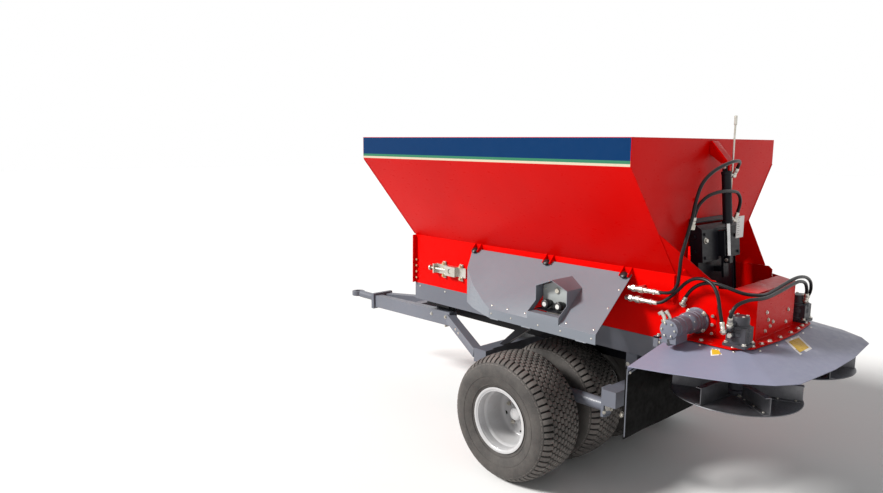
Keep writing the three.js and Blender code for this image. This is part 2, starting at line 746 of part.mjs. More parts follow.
// The spine under the belt, its cross members, and the saddles that hold the drawbar.
const crossMembers = { half: 229.5, depth: 50, top: 760, at: [90, 900, 1700] };
const saddle = {
  plateFrontY: 1800, plateRearY: 1590, plateBottom: 664, half: 228, side: 8, cheekZ: 632,
  cheekDepth: 80, cheekInset: 4,
};

function chassisBackbone() {
  const { half, rearY, frontY, bottom, top, wall } = backbone;
  const spine = box(-half, half, rearY, frontY, bottom, top);
  const bore = box(
    -half + wall, half - wall, rearY - over, frontY + over, bottom + wall, top - wall,
  );
  const reach = crossMembers.depth / 2;
  const members = crossMembers.at.map((y) =>
    box(-crossMembers.half, crossMembers.half, y - reach, y + reach, top - over, crossMembers.top),
  );
  const { plateRearY, plateFrontY, plateBottom, side: thickness, cheekInset } = saddle;
  const plateRest = box(-saddle.half, saddle.half, plateRearY, plateFrontY, plateBottom, top);
  const inset = (drawbar.width + thickness) / 2 + over;
  const cheeks = [LEFT, RIGHT].map((side) => {
    const at = (y) => {
      const share = (y - drawbar.rearY) / (drawbar.headY - drawbar.rearY);
      const x = drawbar.rearX + share * (drawbar.headX - drawbar.rearX) - inset;
      return [side * x, y, saddle.cheekZ];
    };
    const [from, to] = [at(plateRearY + cheekInset), at(plateFrontY - cheekInset)];
    return beamBetween(from, to, thickness, saddle.cheekDepth);
  });
  return cut(join(spine, plateRest, ...members, ...cheeks), bore);
}

// The outline, in y and z, of the plate between a cross beam and a rail: upright over the rear
// beam, leaning back over the front one.
function beamUpright(centreY, leans) {
  const [low, high] = [beam.bottom + beam.size - over, rail.bottom - gap];
  const [foot0, foot1] = leans
    ? beam.braceFoot
    : [centreY - beam.uprightDepth / 2, centreY + beam.uprightDepth / 2];
  const [top0, top1] = leans ? beam.braceTop : [foot0, foot1];
  return [[foot0, low], [foot1, low], [top1, high], [top0, high]];
}

// A closed cross beam with drain holes, its uprights, and the lugs that carry the rocking axles.
function axleBeam(centreY, half, lugSide) {
  const { size, wall, bottom, uprightX, uprightWidth, drainRadius, drainInset } = beam;
  const [y0, y1] = [centreY - size / 2, centreY + size / 2];
  const top = bottom + size;
  const face = lugSide > 0 ? y1 : y0;
  const far = face + lugSide * pivot.lugThickness;
  const tube = cut(
    box(-half, half, y0, y1, bottom, top),
    box(-half + wall, half - wall, y0 + wall, y1 - wall, bottom + wall, top - wall),
  );
  const outline = beamUpright(centreY, lugSide < 0);
  const bothSides = (make) => [LEFT, RIGHT].map(make);
  const uprights = bothSides((side) => {
    const x = side * uprightX;
    return prismX(outline, x - uprightWidth / 2, x + uprightWidth / 2);
  });
  const lugs = bothSides((side) => {
    const x = side * pivot.x;
    return box(
      x - pivot.lugHalf, x + pivot.lugHalf, face - lugSide * over, far, pivot.lugBottom, top,
    );
  });
  const bores = bothSides((side) => {
    const [start, end] = [face - lugSide * over, far + lugSide * over];
    return bar(pivot.bore, [side * pivot.x, start, pivot.z], [side * pivot.x, end, pivot.z], 24);
  });
  const drains = bothSides((side) => {
    const x = side * (half - drainInset);
    return bar(drainRadius, [x, centreY, bottom - over], [x, centreY, bottom + wall + over], 10);
  });
  return cut(join(tube, ...uprights, ...lugs), ...bores, ...drains);
}

// A rocking axle: the bar that turns in the lugs, a hanger, and a stub for each wheel.
const hanger = { halfX: 25, halfY: 40, below: 36 };

function rockerAxle(side) {
  const x = side * pivot.x;
  const rearFace = beam.rearY + beam.size / 2;
  const frontFace = beam.frontY - beam.size / 2;
  const clear = pivot.lugThickness + pivot.shoulder;
  const { axleY, radius, stubRadius, stubEnd } = wheel;
  const { z, journal, journalInset } = pivot;
  return join(
    bar(pivot.radius, [x, rearFace + clear, z], [x, frontFace - clear, z], 20),
    bar(journal, [x, rearFace + journalInset, z], [x, frontFace - journalInset, z], 24),
    box(
      x - hanger.halfX, x + hanger.halfX, axleY - hanger.halfY, axleY + hanger.halfY,
      radius - hanger.below, z,
    ),
    bar(stubRadius, [x - stubEnd, axleY, radius], [x + stubEnd, axleY, radius], 24),
  );
}

// Tyre and rim sections: [radius, distance from the wheel's middle plane].
const tyreRadius = wheel.radius / Math.cos(Math.PI / wheel.tyreSides);
const tyreOuter = [[152, 127], [172, 127], [240, wheel.width / 2], [300, 148], [tyreRadius, 104]];
const tyreInner = [[152, 106], [236, 138], [302, 104]];
const hubBore = wheel.boreRadius + 0.5;
const rimSection = [
  [0, -22], [hubBore, -22], [hubBore, -95], [50, -95], [50, -55],
  [145, -55], [145, -133], [170, -133], [170, -128], [150, -128], [150, 128], [170, 128],
  [170, 133], [145, 133], [145, -47], [50, -47], [50, -14], [44, -8], [0, -8],
];
const wheelNuts = { count: 5, circle: 82, radius: 12, height: 16, seat: -48 };

function tyre(x, outward) {
  const otherWay = (points) => points.map(([r, a]) => [r, -a]).reverse();
  const profile = [
    ...tyreOuter, ...otherWay(tyreOuter), ...otherWay(tyreInner).reverse(), ...tyreInner.slice().reverse(),
  ];
  profile.push(profile[0]);
  const half = Math.PI / wheel.tyreSides;
  return turnedX(profile.reverse(), wheel.tyreSides, [x, wheel.axleY, wheel.radius], outward, half);
}

function rim(x, outward) {
  const centre = [x, wheel.axleY, wheel.radius];
  const body = turnedX(rimSection, wheel.rimSides, centre, outward);
  const nuts = Array.from({ length: wheelNuts.count }, (_, i) => {
    const angle = (2 * Math.PI * i) / wheelNuts.count;
    const y = wheel.axleY + wheelNuts.circle * Math.cos(angle);
    const z = wheel.radius + wheelNuts.circle * Math.sin(angle);
    const from = x + outward * wheelNuts.seat;
    return bar(wheelNuts.radius, [from, y, z], [from + outward * wheelNuts.height, y, z], 6);
  });
  return join(body, ...nuts);
}

// ---------------------------------------------------------------- drawbar and jack

// One side of the A-shaped drawbar: the long rail to the nose, and the strut that braces it from
// the front cross beam, with the strut's end plate.
const strut = {
  topX: 222, topY: 1580, topZ: 603, footX: 398, footY: 1160, footZ: 505, size: 56,
  plate: 8, plateHalfX: 40, plateHalfZ: 36,
};

function drawbarRail(side) {
  const from = [side * drawbar.rearX, drawbar.rearY, drawbar.rearZ];
  const to = [side * drawbar.headX, drawbar.headY, drawbar.headZ];
  const brace = beamBetween(
    [side * strut.topX, strut.topY, strut.topZ],
    [side * strut.footX, strut.footY, strut.footZ],
    strut.size,
    strut.size,
  );
  const beamFace = beam.frontY + beam.size / 2 + gap;
  const reach = strut.size;
  const endPlate = box(
    side * (strut.footX - strut.plateHalfX), side * (strut.footX + strut.plateHalfX), beamFace,
    beamFace + strut.plate, strut.footZ - strut.plateHalfZ, strut.footZ + strut.plateHalfZ,
  );
  const beyond = box(
    side * (strut.footX - reach), side * (strut.footX + reach), beamFace - reach, beamFace,
    strut.footZ - reach, strut.footZ + reach,
  );
  return join(beamBetween(from, to, drawbar.width, drawbar.depth), cut(brace, beyond), endPlate);
}

// The hitch: a head plate across the drawbar's nose, a shank, and the ring for the tractor's pin.
const head = {
  rearY: 2572, frontY: 2600, half: 92, bottom: 462, top: 578, collarHalf: 40, collarZ: 34,
  collarLength: 70, shankEnd: 2856,
};

function hitchEye() {
  const { centreY, radius, hole, thickness, z, shankRadius } = eye;
  const { collarHalf, collarZ, frontY } = head;
  const half = thickness / 2;
  const ringBore = thickness + over;
  return cut(
    join(
      box(-head.half, head.half, head.rearY, frontY, head.bottom, head.top),
      bar(shankRadius, [0, frontY - over, z], [0, head.shankEnd, z], 16),
      box(
        -collarHalf, collarHalf, frontY - over, frontY + head.collarLength, z - collarZ,
        z + collarZ,
      ),
      bar(radius, [0, centreY, z - half], [0, centreY, z + half], 32),
    ),
    bar(hole, [0, centreY, z - ringBore], [0, centreY, z + ringBore], 24),
  );
}

// The parking jack lies along the drawbar: its tube swings down about a pin through two lugs.
const jackMount = {
  rearY: 2010, frontY: 2070, rearHalf: 109, frontHalf: 99, bottom: 560, top: 604,
  lug: 42, lugOuter: 52, lugRearY: 2020, lugFrontY: 2134, lugBottom: 492, lugTop: 578,
};
const jackPin = { radius: 9, half: 54, hole: 10 };

function jackCrossMember() {
  const { rearY, frontY, rearHalf, frontHalf, bottom, top, lug, lugOuter } = jackMount;
  const lugs = [LEFT, RIGHT].map((side) =>
    box(
      side * lug, side * lugOuter, jackMount.lugRearY, jackMount.lugFrontY, jackMount.lugBottom,
      jackMount.lugTop,
    ),
  );
  const { y, z } = jack;
  return cut(
    join(prismZ(mirrored([[rearHalf, rearY], [frontHalf, frontY]]), bottom, top), ...lugs),
    bar(jackPin.hole, [-lugOuter - over, y, z], [lugOuter + over, y, z]),
  );
}

// The crank's axle sticks out of the tube's end and its handle hangs down behind it.
const crank = { radius: 7, start: -14, end: 20, handle: 14, drop: 46 };

function jackTube() {
  const { y, z, radius, bore, above, below } = jack;
  const end = y + above;
  return cut(
    join(
      bar(radius, [0, y - below, z], [0, end, z], 20),
      bar(jackPin.radius, [-jackPin.half, y, z], [jackPin.half, y, z], 12),
      bar(crank.radius, [0, end + crank.start, z], [0, end + crank.end, z], 10),
      bar(crank.radius, [0, end + crank.handle, z], [0, end + crank.handle, z - crank.drop], 10),
    ),
    bar(bore, [0, y - below - over, z], [0, y - jack.boreEnd, z], 20),
  );
}

const jackFoot = { reach: 300, half: 50, thickness: 8, inner: 24 };

function jackLeg() {
  const { y, z, legRadius } = jack;
  const { reach, half, thickness, inner } = jackFoot;
  const footY = y - reach;
  return join(
    bar(legRadius, [0, footY, z], [0, y - inner, z], 20),
    box(-half, half, footY, footY + thickness, z - half, z + half),
  );
}

// ---------------------------------------------------------------- side cover and valve

// The cover in plan: straight along the hopper, then curved in towards its front corner.
const coverPlan = [
  [cover.topX, cover.rearY], [cover.topX, cover.frontY], [414, 1240], [493, 1115], [562, 968],
  [cover.outerX, 897], [cover.outerX, cover.rearY],
];
const coverMargin = 20;
const slopeShare = 1.3;
const hood = {
  y: 533, half: 99, apexZ: 1052, eaveZ: 1011, floorZ: 884, frontX: 527, kneeZ: 934, backX: 330,
  hollowX: 312, underX: 540,
};

// Everything under the cover's sloping sheet, lowered by the given amount.
function coverSlope(drop) {
  const rise = (cover.topZ - cover.edgeZ) / (cover.outerX - cover.topX);
  const heightAt = (x) => cover.topZ - drop - rise * (x - cover.topX);
  const [x0, x1] = [cover.topX - coverMargin, cover.outerX + coverMargin];
  const floor = cover.bottomZ - coverMargin;
  const outline = [[x0, floor], [x0, heightAt(x0)], [x1, heightAt(x1)], [x1, floor]];
  return prismY(
    outline.map(([x, z]) => [-x, z]),
    cover.rearY - 2 * coverMargin,
    cover.frontY + 2 * coverMargin,
  );
}

// The house-shaped tube around the valve's knobs, from its floor to its ridge.
function hoodTube(inset, floorZ, x0, x1) {
  const { y, half, apexZ, eaveZ } = hood;
  const outline = [
    [y - half + inset, floorZ + inset], [y - half + inset, eaveZ - inset / 2],
    [y, apexZ - inset], [y + half - inset, eaveZ - inset / 2], [y + half - inset, floorZ + inset],
  ];
  return prismX(outline, x0, x1);
}

// The hood from the side: its cheeks drop straight down, then slant out to the front of the ledge.
function hoodProfile() {
  const { apexZ, frontX, kneeZ, backX, floorZ, y, half } = hood;
  const low = cover.edgeZ - over;
  const ledgeZ = floorZ + cover.sheet;
  const outline = [
    [cover.outerX, low], [cover.outerX, ledgeZ], [frontX, kneeZ], [frontX, apexZ + over],
    [backX, apexZ + over], [backX, low],
  ];
  return prismY(outline.map(([x, z]) => [-x, z]), y - half - over, y + half + over);
}

function knobPlace(y) {
  const slope = Math.atan2(cover.topZ - cover.edgeZ, cover.outerX - cover.topX);
  const inset = cover.knobInset;
  const point = new THREE.Vector3(
    -cover.topX - inset * Math.cos(slope), y, cover.topZ - inset * Math.sin(slope),
  );
  const normal = new THREE.Vector3(-Math.sin(slope), 0, Math.cos(slope));
  return { point, normal };
}

function sideCover() {
  const { sheet, rearY, frontY, topX, outerX, edgeZ, bottomZ, topZ } = cover;
  const above = topZ + coverMargin;
  const outer = prismZ(coverPlan.map(([x, y]) => [-x, y]), bottomZ, above)
    .intersect(coverSlope(0));
  const insidePlan = coverPlan.map(([x, y]) => [-(x >= outerX ? x - sheet : x - 2 * sheet), y - sheet]);
  insidePlan[0] = [-topX + coverMargin, rearY - coverMargin];
  insidePlan[1] = [-topX + coverMargin, frontY - 2 * sheet];
  insidePlan.at(-1)[1] = rearY - coverMargin;
  const inner = prismZ(insidePlan, bottomZ - over, above).intersect(coverSlope(sheet * slopeShare));
  const hoodBlock = hoodTube(0, edgeZ - over, -outerX, -hood.backX)
    .intersect(hoodProfile())
    .subtract(coverSlope(sheet));
  const hollow = hoodTube(sheet, hood.floorZ, -outerX - over, -hood.hollowX);
  const underLedge = box(
    -outerX + sheet, -hood.underX, hood.y - hood.half + sheet, hood.y + hood.half - sheet,
    bottomZ - over, hood.floorZ,
  );
  const stems = cover.knobY.map((y) => {
    const { point, normal } = knobPlace(y);
    const from = point.clone().addScaledVector(normal, -coverMargin);
    const to = point.clone().addScaledVector(normal, coverMargin);
    return bar(knob.hole, from.toArray(), to.toArray(), 12);
  });
  return cut(join(cut(outer, inner), hoodBlock), hollow, underLedge, ...stems);
}

const knob = { radius: 18, hole: 7, stem: 5, seat: 1.2, height: 20, stemStart: -14 };

function coverKnob(y) {
  const { point, normal } = knobPlace(y);
  const at = (distance) => point.clone().addScaledVector(normal, distance).toArray();
  return join(
    bar(knob.radius, at(knob.seat), at(knob.height), 12),
    bar(knob.stem, at(knob.stemStart), at(knob.seat + over), 10),
  );
}

// The flow control valve on its bracket: block, boss and the house-shaped panel in the hood.
const valve = {
  rearY: 454, frontY: 612, inner: 385, outer: 456, bottom: 856, top: 938,
  panelX: 474, panelSheet: 4, panelInset: 8, bossHalf: 55, bossBottom: 896, bossTop: 926,
  bracketHalf: 40, bracketTop: 866,
};
const flowKnob = { y: [574, 492], z: 922, radius: 24, outer: 528, stem: 6, seat: 2, stemStart: 20 };

function valveBlock() {
  const { rearY, frontY, inner, outer, bottom, top, panelX, bossHalf } = valve;
  const face = hoodTube(valve.panelInset, hood.floorZ, -panelX, -panelX + valve.panelSheet);
  const bracketX = hopper.floorHalf + gap;
  const holes = flowKnob.y.map((y) => {
    const [x0, x1] = [-panelX - over, -panelX + flowKnob.stemStart + 2 * over];
    return bar(flowKnob.stem + over, [x0, y, flowKnob.z], [x1, y, flowKnob.z], 12);
  });
  return cut(
    join(
      box(-outer, -inner, rearY, frontY, bottom, top),
      box(
        -panelX, -outer + over, hood.y - bossHalf, hood.y + bossHalf, valve.bossBottom,
        valve.bossTop,
      ),
      box(
        -inner - over, -bracketX, hood.y - valve.bracketHalf, hood.y + valve.bracketHalf, bottom,
        valve.bracketTop,
      ),
      face,
    ),
    ...holes,
  );
}

function controlKnob(y) {
  const at = (x) => [-x, y, flowKnob.z];
  const { seat, stemStart } = flowKnob;
  return join(
    bar(flowKnob.radius, at(valve.panelX + seat), at(flowKnob.outer), 20),
    bar(flowKnob.stem, at(valve.panelX - stemStart), at(valve.panelX + seat + over), 10),
  );
}

// ---------------------------------------------------------------- hoses

const hoseRoutes = {
  hose_left_disc: {
    steps: 22,
    points: [
      [-342, 205, 992], [-342, 120, 992], [-341, 40, 997], [-336, 0, 1024], [-337, -44, 1068],
      [-350, -86, 1110], [-366, -136, 1139], [-377, -190, 1144], [-388, -232, 1126],
      [-399, -260, 1088], [-408, -278, 1030], [-414, -300, 950],
    ],
  },
  hose_gate_lift: {
    steps: 32,
    points: [
      [-342, 190, 1043], [-342, 110, 1043], [-346, 30, 1046], [-358, -20, 1058], [-372, -56, 1096],
      [-386, -72, 1160], [-398, -82, 1225], [-396, -94, 1290], [-372, -96, 1350],
      [-342, -96, 1415], [-322, -96, 1475], [-284, -100, 1550], [-220, -112, 1602],
      [-140, -126, 1634], [-50, -134, 1652], [30, -122, 1648], [72, -96, 1622], [78, -78, 1588],
    ],
  },
  hose_gate_lower: {
    steps: 18,
    points: [
      [-252, -52, 1368], [-256, -62, 1410], [-256, -78, 1455], [-222, -100, 1495],
      [-150, -120, 1514], [-60, -128, 1514], [20, -128, 1502], [76, -118, 1460],
      [90, -104, 1410], [82, -96, 1372],
    ],
  },
  hose_right_disc: {
    steps: 34,
    points: [
      [-312, -60, 1010], [-316, -78, 1048], [-330, -118, 1092], [-342, -168, 1120],
      [-346, -222, 1128], [-342, -280, 1116], [-316, -332, 1098], [-240, -360, 1084],
      [-165, -368, 1077], [-50, -368, 1088], [119, -368, 1107], [210, -368, 1109],
      [320, -364, 1090], [400, -356, 1050], [434, -344, 1000], [430, -326, 955],
    ],
  },
  hose_disc_link: {
    steps: 26,
    points: [
      [-404, -322, 978], [-416, -330, 1018], [-402, -342, 1056], [-346, -364, 1076],
      [-230, -387, 1074], [-90, -389, 1080], [60, -389, 1094], [160, -388, 1097],
      [236, -386, 1078], [280, -380, 1040], [298, -374, 990],
    ],
  },
};

// ---------------------------------------------------------------- assembly

for (const side of [LEFT, RIGHT]) {
  const named = (part) => `${sideName(side)}_${part}`;
  place(`hopper_${sideName(side)}_side`, hopperSide(side), paint.red);
  place(named("conveyor_side"), conveyorSide(side), paint.red);
  place(named("belt_tensioner"), beltTensioner(side), paint.zinc);
  place(named("chassis_rail"), chassisRail(side), paint.grey);
  place(named("rocker_axle"), rockerAxle(side), paint.grey);
  place(named("drawbar_rail"), drawbarRail(side), paint.grey);
  place(named("disc_motor"), spinnerMotor(side), paint.black);
  place(named("spinner_disc"), spinnerDisc(side), paint.stainless);
  for (const [row, x, outward] of [["outer", wheel.outerX, side], ["inner", wheel.innerX, -side]]) {
    place(named(`${row}_tyre`), tyre(side * x, outward), paint.tyre);
    place(named(`${row}_rim`), rim(side * x, outward), paint.rim);
  }
}

place("hopper_front_wall", hopperFrontWall(), paint.red);
place("hopper_rear_wall", hopperRearWall(), paint.red);
place("conveyor_belt", beltLoop(), paint.rubber);
place("belt_slider_bed", sliderBed(), paint.grey);
place("drive_roller", roller(conveyor.driveY, conveyor.driveShaftRadius, 330, 300), paint.zinc);
place("idler_roller", roller(conveyor.idlerY, conveyor.idlerShaftRadius, 322, 322), paint.zinc);
place("belt_gearbox", beltGearbox(), paint.grey);
place("belt_motor", beltDriveMotor(), paint.black);
place("discharge_chute", dischargeChute(), paint.red);
place("spinner_deck", spinnerDeck(), paint.red);
place("deflector", deflectorFan(), paint.grey);
place("rubber_flap", rubberFlap(), paint.rubber);
place("gate_housing", gateHousing(), paint.black, gateGroup);
place("metering_gate", meteringGate(), paint.black, gateGroup);
place("gate_cylinder", gateCylinder(), paint.black, gateGroup);
place("gate_cylinder_rod", gateRod(), paint.zinc, gateGroup);
place("gate_indicator", gateIndicator(), paint.zinc);
place("chassis_backbone", chassisBackbone(), paint.black);
place("rear_axle_beam", axleBeam(beam.rearY, beam.rearHalf, 1), paint.grey);
place("front_axle_beam", axleBeam(beam.frontY, beam.frontHalf, -1), paint.grey);
place("jack_cross_member", jackCrossMember(), paint.grey);
place("jack_tube", jackTube(), paint.black);
place("jack_leg", jackLeg(), paint.zinc);
place("hitch_eye", hitchEye(), paint.grey);
place("side_cover", sideCover(), paint.grey);
place("valve_block", valveBlock(), paint.zinc);
["front", "middle", "rear"].forEach((where, i) => {
  place(`cover_knob_${where}`, coverKnob(cover.knobY[i]), paint.plastic);
});
["front", "rear"].forEach((where, i) => {
  place(`flow_knob_${where}`, controlKnob(flowKnob.y[i]), paint.plastic);
});
for (const [name, { points, steps }] of Object.entries(hoseRoutes)) {
  place(name, hose(points, steps), paint.rubber);
}

model.position.y = -(rearEnd + frontEnd) / 2;
const spreader = new THREE.Group();
spreader.add(model);

export default spreader;
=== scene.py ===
"""A trailed twin-disc spreader: its looks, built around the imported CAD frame.

Lengths in the tables below are millimetres in the machine's own layout: x = 0 is the centreline,
+x the machine's right, y = 0 the hopper's rear wall, +y towards the tractor, z = 0 the ground.
spot() turns them into metres in the frame's axes.
"""

import json
import math

import bmesh
import bpy
from mathutils import Matrix, Vector


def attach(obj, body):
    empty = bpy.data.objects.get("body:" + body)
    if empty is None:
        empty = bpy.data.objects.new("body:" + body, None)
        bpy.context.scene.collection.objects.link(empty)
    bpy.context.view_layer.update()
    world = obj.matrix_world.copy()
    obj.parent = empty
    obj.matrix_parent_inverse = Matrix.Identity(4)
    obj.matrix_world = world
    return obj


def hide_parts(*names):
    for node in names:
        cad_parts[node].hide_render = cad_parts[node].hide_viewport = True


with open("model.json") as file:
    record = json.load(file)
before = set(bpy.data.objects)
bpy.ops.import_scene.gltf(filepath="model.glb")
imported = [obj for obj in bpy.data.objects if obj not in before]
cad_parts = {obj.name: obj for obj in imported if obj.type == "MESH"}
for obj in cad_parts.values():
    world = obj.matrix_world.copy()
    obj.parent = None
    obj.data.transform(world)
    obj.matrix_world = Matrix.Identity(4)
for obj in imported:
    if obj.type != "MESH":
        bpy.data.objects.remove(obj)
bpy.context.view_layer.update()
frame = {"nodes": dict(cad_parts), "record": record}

MM = 0.001
FRAME_SHIFT = -1144
LEFT = -1
RIGHT = 1
SIDES = (LEFT, RIGHT)
SIDE_NAMES = {LEFT: "left", RIGHT: "right"}
ROWS = ("outer", "inner")


def spot(x, y, z):
    """A point of the machine's layout, in metres in the frame's axes."""
    return Vector((x * MM, (y + FRAME_SHIFT) * MM, z * MM))


def placed(name, data):
    """A new object of the scene, with the given mesh, lamp or camera in it."""
    thing = bpy.data.objects.new(name, data)
    bpy.context.scene.collection.objects.link(thing)
    return thing


# ------------------------------------------------------------------ camera

CAMERA = {
    "place": (-3234, -1578, 1725),
    "yaw": 42.83,
    "pitch": 8.52,
    "roll": 0.48,
    "lens": 28.18,
    "sensor": 36.0,
}


def make_camera():
    """The photograph's camera: its place in the layout, its turns in degrees and its lens."""
    yaw, pitch, roll = (math.radians(CAMERA[key]) for key in ("yaw", "pitch", "roll"))
    level = math.cos(pitch)
    forward = Vector((math.sin(yaw) * level, math.cos(yaw) * level, -math.sin(pitch)))
    level_right = Vector((math.cos(yaw), -math.sin(yaw), 0))
    level_up = level_right.cross(forward)
    right = math.cos(roll) * level_right + math.sin(roll) * level_up
    up = math.cos(roll) * level_up - math.sin(roll) * level_right
    data = bpy.data.cameras.new("Camera")
    data.lens = CAMERA["lens"]
    data.sensor_width = CAMERA["sensor"]
    data.clip_end = 60
    camera = placed("Camera", data)
    turn = Matrix((right, up, -forward)).transposed().to_4x4()
    camera.matrix_world = Matrix.Translation(spot(*CAMERA["place"])) @ turn
    bpy.context.scene.camera = camera


make_camera()


# ------------------------------------------------------------------ materials


COAT_ROUGHNESS = 0.08


class Shader:
    """A Principled material whose inputs come from procedural textures in object space."""

    def __init__(self, name, metallic=0.0, coat=0.0, specular=0.5):
        self.material = bpy.data.materials.new(name)
        self.material.use_nodes = True
        self.tree = self.material.node_tree
        self.bsdf = self.tree.nodes["Principled BSDF"]
        self.bsdf.inputs["Metallic"].default_value = metallic
        self.bsdf.inputs["Coat Weight"].default_value = coat
        self.bsdf.inputs["Coat Roughness"].default_value = COAT_ROUGHNESS
        self.bsdf.inputs["Specular IOR Level"].default_value = specular
        self.place = self.tree.nodes.new("ShaderNodeTexCoord").outputs["Object"]
        self.normal = None

    def link(self, output, target):
        self.tree.links.new(output, target)

    def set(self, socket, value):
        """Links an output to a socket, or writes a plain value on it."""
        if isinstance(value, bpy.types.NodeSocket):
            self.link(value, socket)
        elif isinstance(value, tuple) and len(value) == 3:
            socket.default_value = (*value, 1.0)
        else:
            socket.default_value = value

    def noise(self, scale, detail=3.0, stretch=(1, 1, 1), roughness=0.55):
        mapping = self.tree.nodes.new("ShaderNodeMapping")
        mapping.inputs["Scale"].default_value = stretch
        self.link(self.place, mapping.inputs["Vector"])
        node = self.tree.nodes.new("ShaderNodeTexNoise")
        node.inputs["Scale"].default_value = scale
        node.inputs["Detail"].default_value = detail
        node.inputs["Roughness"].default_value = roughness
        self.link(mapping.outputs["Vector"], node.inputs["Vector"])
        return node.outputs["Fac"]

    def height(self):
        split = self.tree.nodes.new("ShaderNodeSeparateXYZ")
        self.link(self.place, split.inputs["Vector"])
        return split.outputs["Z"]

    def remap(self, value, low, high, to_low=0.0, to_high=1.0):
        node = self.tree.nodes.new("ShaderNodeMapRange")
        self.link(value, node.inputs["Value"])
        node.inputs["From Min"].default_value = low
        node.inputs["From Max"].default_value = high
        node.inputs["To Min"].default_value = to_low
        node.inputs["To Max"].default_value = to_high
        return node.outputs["Result"]

    def times(self, first, second):
        node = self.tree.nodes.new("ShaderNodeMath")
        node.operation = "MULTIPLY"
        self.set(node.inputs[0], first)
        self.set(node.inputs[1], second)
        return node.outputs["Value"]

    def blend(self, factor, first, second):
        """Mixes two colours; the Mix node keeps its colour sockets at 6, 7 and output 2."""
        node = self.tree.nodes.new("ShaderNodeMix")
        node.data_type = "RGBA"
        self.set(node.inputs[0], factor)
        self.set(node.inputs[6], first)
        self.set(node.inputs[7], second)
        return node.outputs[2]

    def colour(self, value):
        self.set(self.bsdf.inputs["Base Color"], value)

    def roughness(self, value):
        self.set(self.bsdf.inputs["Roughness"], value)

    def bump(self, height, distance, strength=1.0):
        node = self.tree.nodes.new("ShaderNodeBump")
        node.inputs["Distance"].default_value = distance
        node.inputs["Strength"].default_value = strength
        self.link(height, node.inputs["Height"])
        if self.normal is not None:
            self.link(self.normal, node.inputs["Normal"])
        self.normal = node.outputs["Normal"]
        self.link(self.normal, self.bsdf.inputs["Normal"])


def scaled(colour, factor):
    return tuple(min(1.0, channel * factor) for channel in colour)


DUST = (0.30, 0.255, 0.20)


def painted(name, base, gloss, coat, dust, peel=0.00012, specular=0.5, tint=(1.0, 1.0, 1.0)):
    """Sprayed paint: slow tone drift, orange peel, fine scratches in the gloss, dust low down."""
    shader = Shader(name, coat=coat, specular=specular)
    shader.bsdf.inputs["Specular Tint"].default_value = (*tint, 1.0)
    drift = shader.remap(shader.noise(1.6, 2.0), 0.35, 0.65)
    tone = shader.blend(drift, scaled(base, 0.93), scaled(base, 1.05))
    low = shader.remap(shader.height(), 0.45, 1.15, 1.0, 0.18)
    patches = shader.remap(shader.noise(7.0, 6.0, roughness=0.7), 0.47, 0.72)
    film = shader.times(shader.times(patches, low), dust)
    shader.colour(shader.blend(film, tone, DUST))
    wear = shader.remap(shader.noise(28.0, 5.0, (1, 1, 3)), 0.3, 0.7, gloss - 0.05, gloss + 0.12)
    shader.roughness(wear)
    shader.bump(shader.noise(420.0, 2.0), peel, 0.5)
    shader.bump(shader.noise(3.0, 2.0), 0.0015, 0.25)
    return shader.material


def bare_metal(name, base, gloss, brush, stain):
    """Zinc plate or stainless: brushed streaks, water stains and small pits."""
    shader = Shader(name, metallic=0.92)
    clouds = shader.remap(shader.noise(16.0, 5.0), 0.35, 0.7)
    stained = tuple(b * s for b, s in zip(base, stain))
    shader.colour(shader.blend(clouds, scaled(base, 1.08), stained))
    streaks = shader.noise(55.0, 4.0, brush)
    shader.roughness(shader.remap(streaks, 0.3, 0.7, gloss - 0.08, gloss + 0.14))
    shader.bump(streaks, 0.0002, 0.3)
    return shader.material


def moulded(name, base, gloss, grain, specular=0.5):
    """Plastic or clean rubber with a fine moulded grain and a little haze."""
    shader = Shader(name, specular=specular)
    haze = shader.remap(shader.noise(20.0, 4.0), 0.4, 0.75, 0.0, 0.35)
    shader.colour(shader.blend(haze, base, tuple(b * 0.6 + 0.022 for b in base)))
    shader.roughness(shader.remap(shader.noise(60.0, 3.0), 0.3, 0.7, gloss - 0.06, gloss + 0.1))
    shader.bump(shader.noise(grain, 2.0), 0.00025, 0.4)
    return shader.material


def dusty_rubber(name, base, dust, amount, gloss):
    """Tyre rubber: dry dust lies in soft patches over the black."""
    shader = Shader(name, specular=0.3)
    cloud = shader.noise(11.0, 6.0, roughness=0.65)
    patches = shader.remap(cloud, 0.36, 0.66, amount - 0.25, amount + 0.2)
    specks = shader.remap(shader.noise(240.0, 3.0), 0.5, 0.75, 0.0, 0.25)
    film = shader.blend(patches, base, dust)
    shader.colour(shader.blend(specks, film, scaled(dust, 1.25)))
    shader.roughness(shader.remap(shader.noise(45.0, 3.0), 0.3, 0.7, gloss - 0.08, gloss + 0.06))
    shader.bump(shader.noise(160.0, 4.0), 0.0006, 0.6)
    shader.bump(shader.noise(14.0, 3.0), 0.0015, 0.35)
    return shader.material


def printed(name, base, gloss=0.3):
    """A vinyl band or plain sticker: even colour, faint grime and a slightly uneven face."""
    shader = Shader(name, specular=0.08)
    grime = shader.remap(shader.noise(18.0, 5.0), 0.5, 0.8, 0.0, 0.14)
    shader.colour(shader.blend(grime, base, scaled(base, 0.6)))
    shader.roughness(shader.remap(shader.noise(30.0, 3.0), 0.3, 0.7, gloss - 0.05, gloss + 0.1))
    shader.bump(shader.noise(70.0, 2.0), 0.0002, 0.3)
    return shader.material


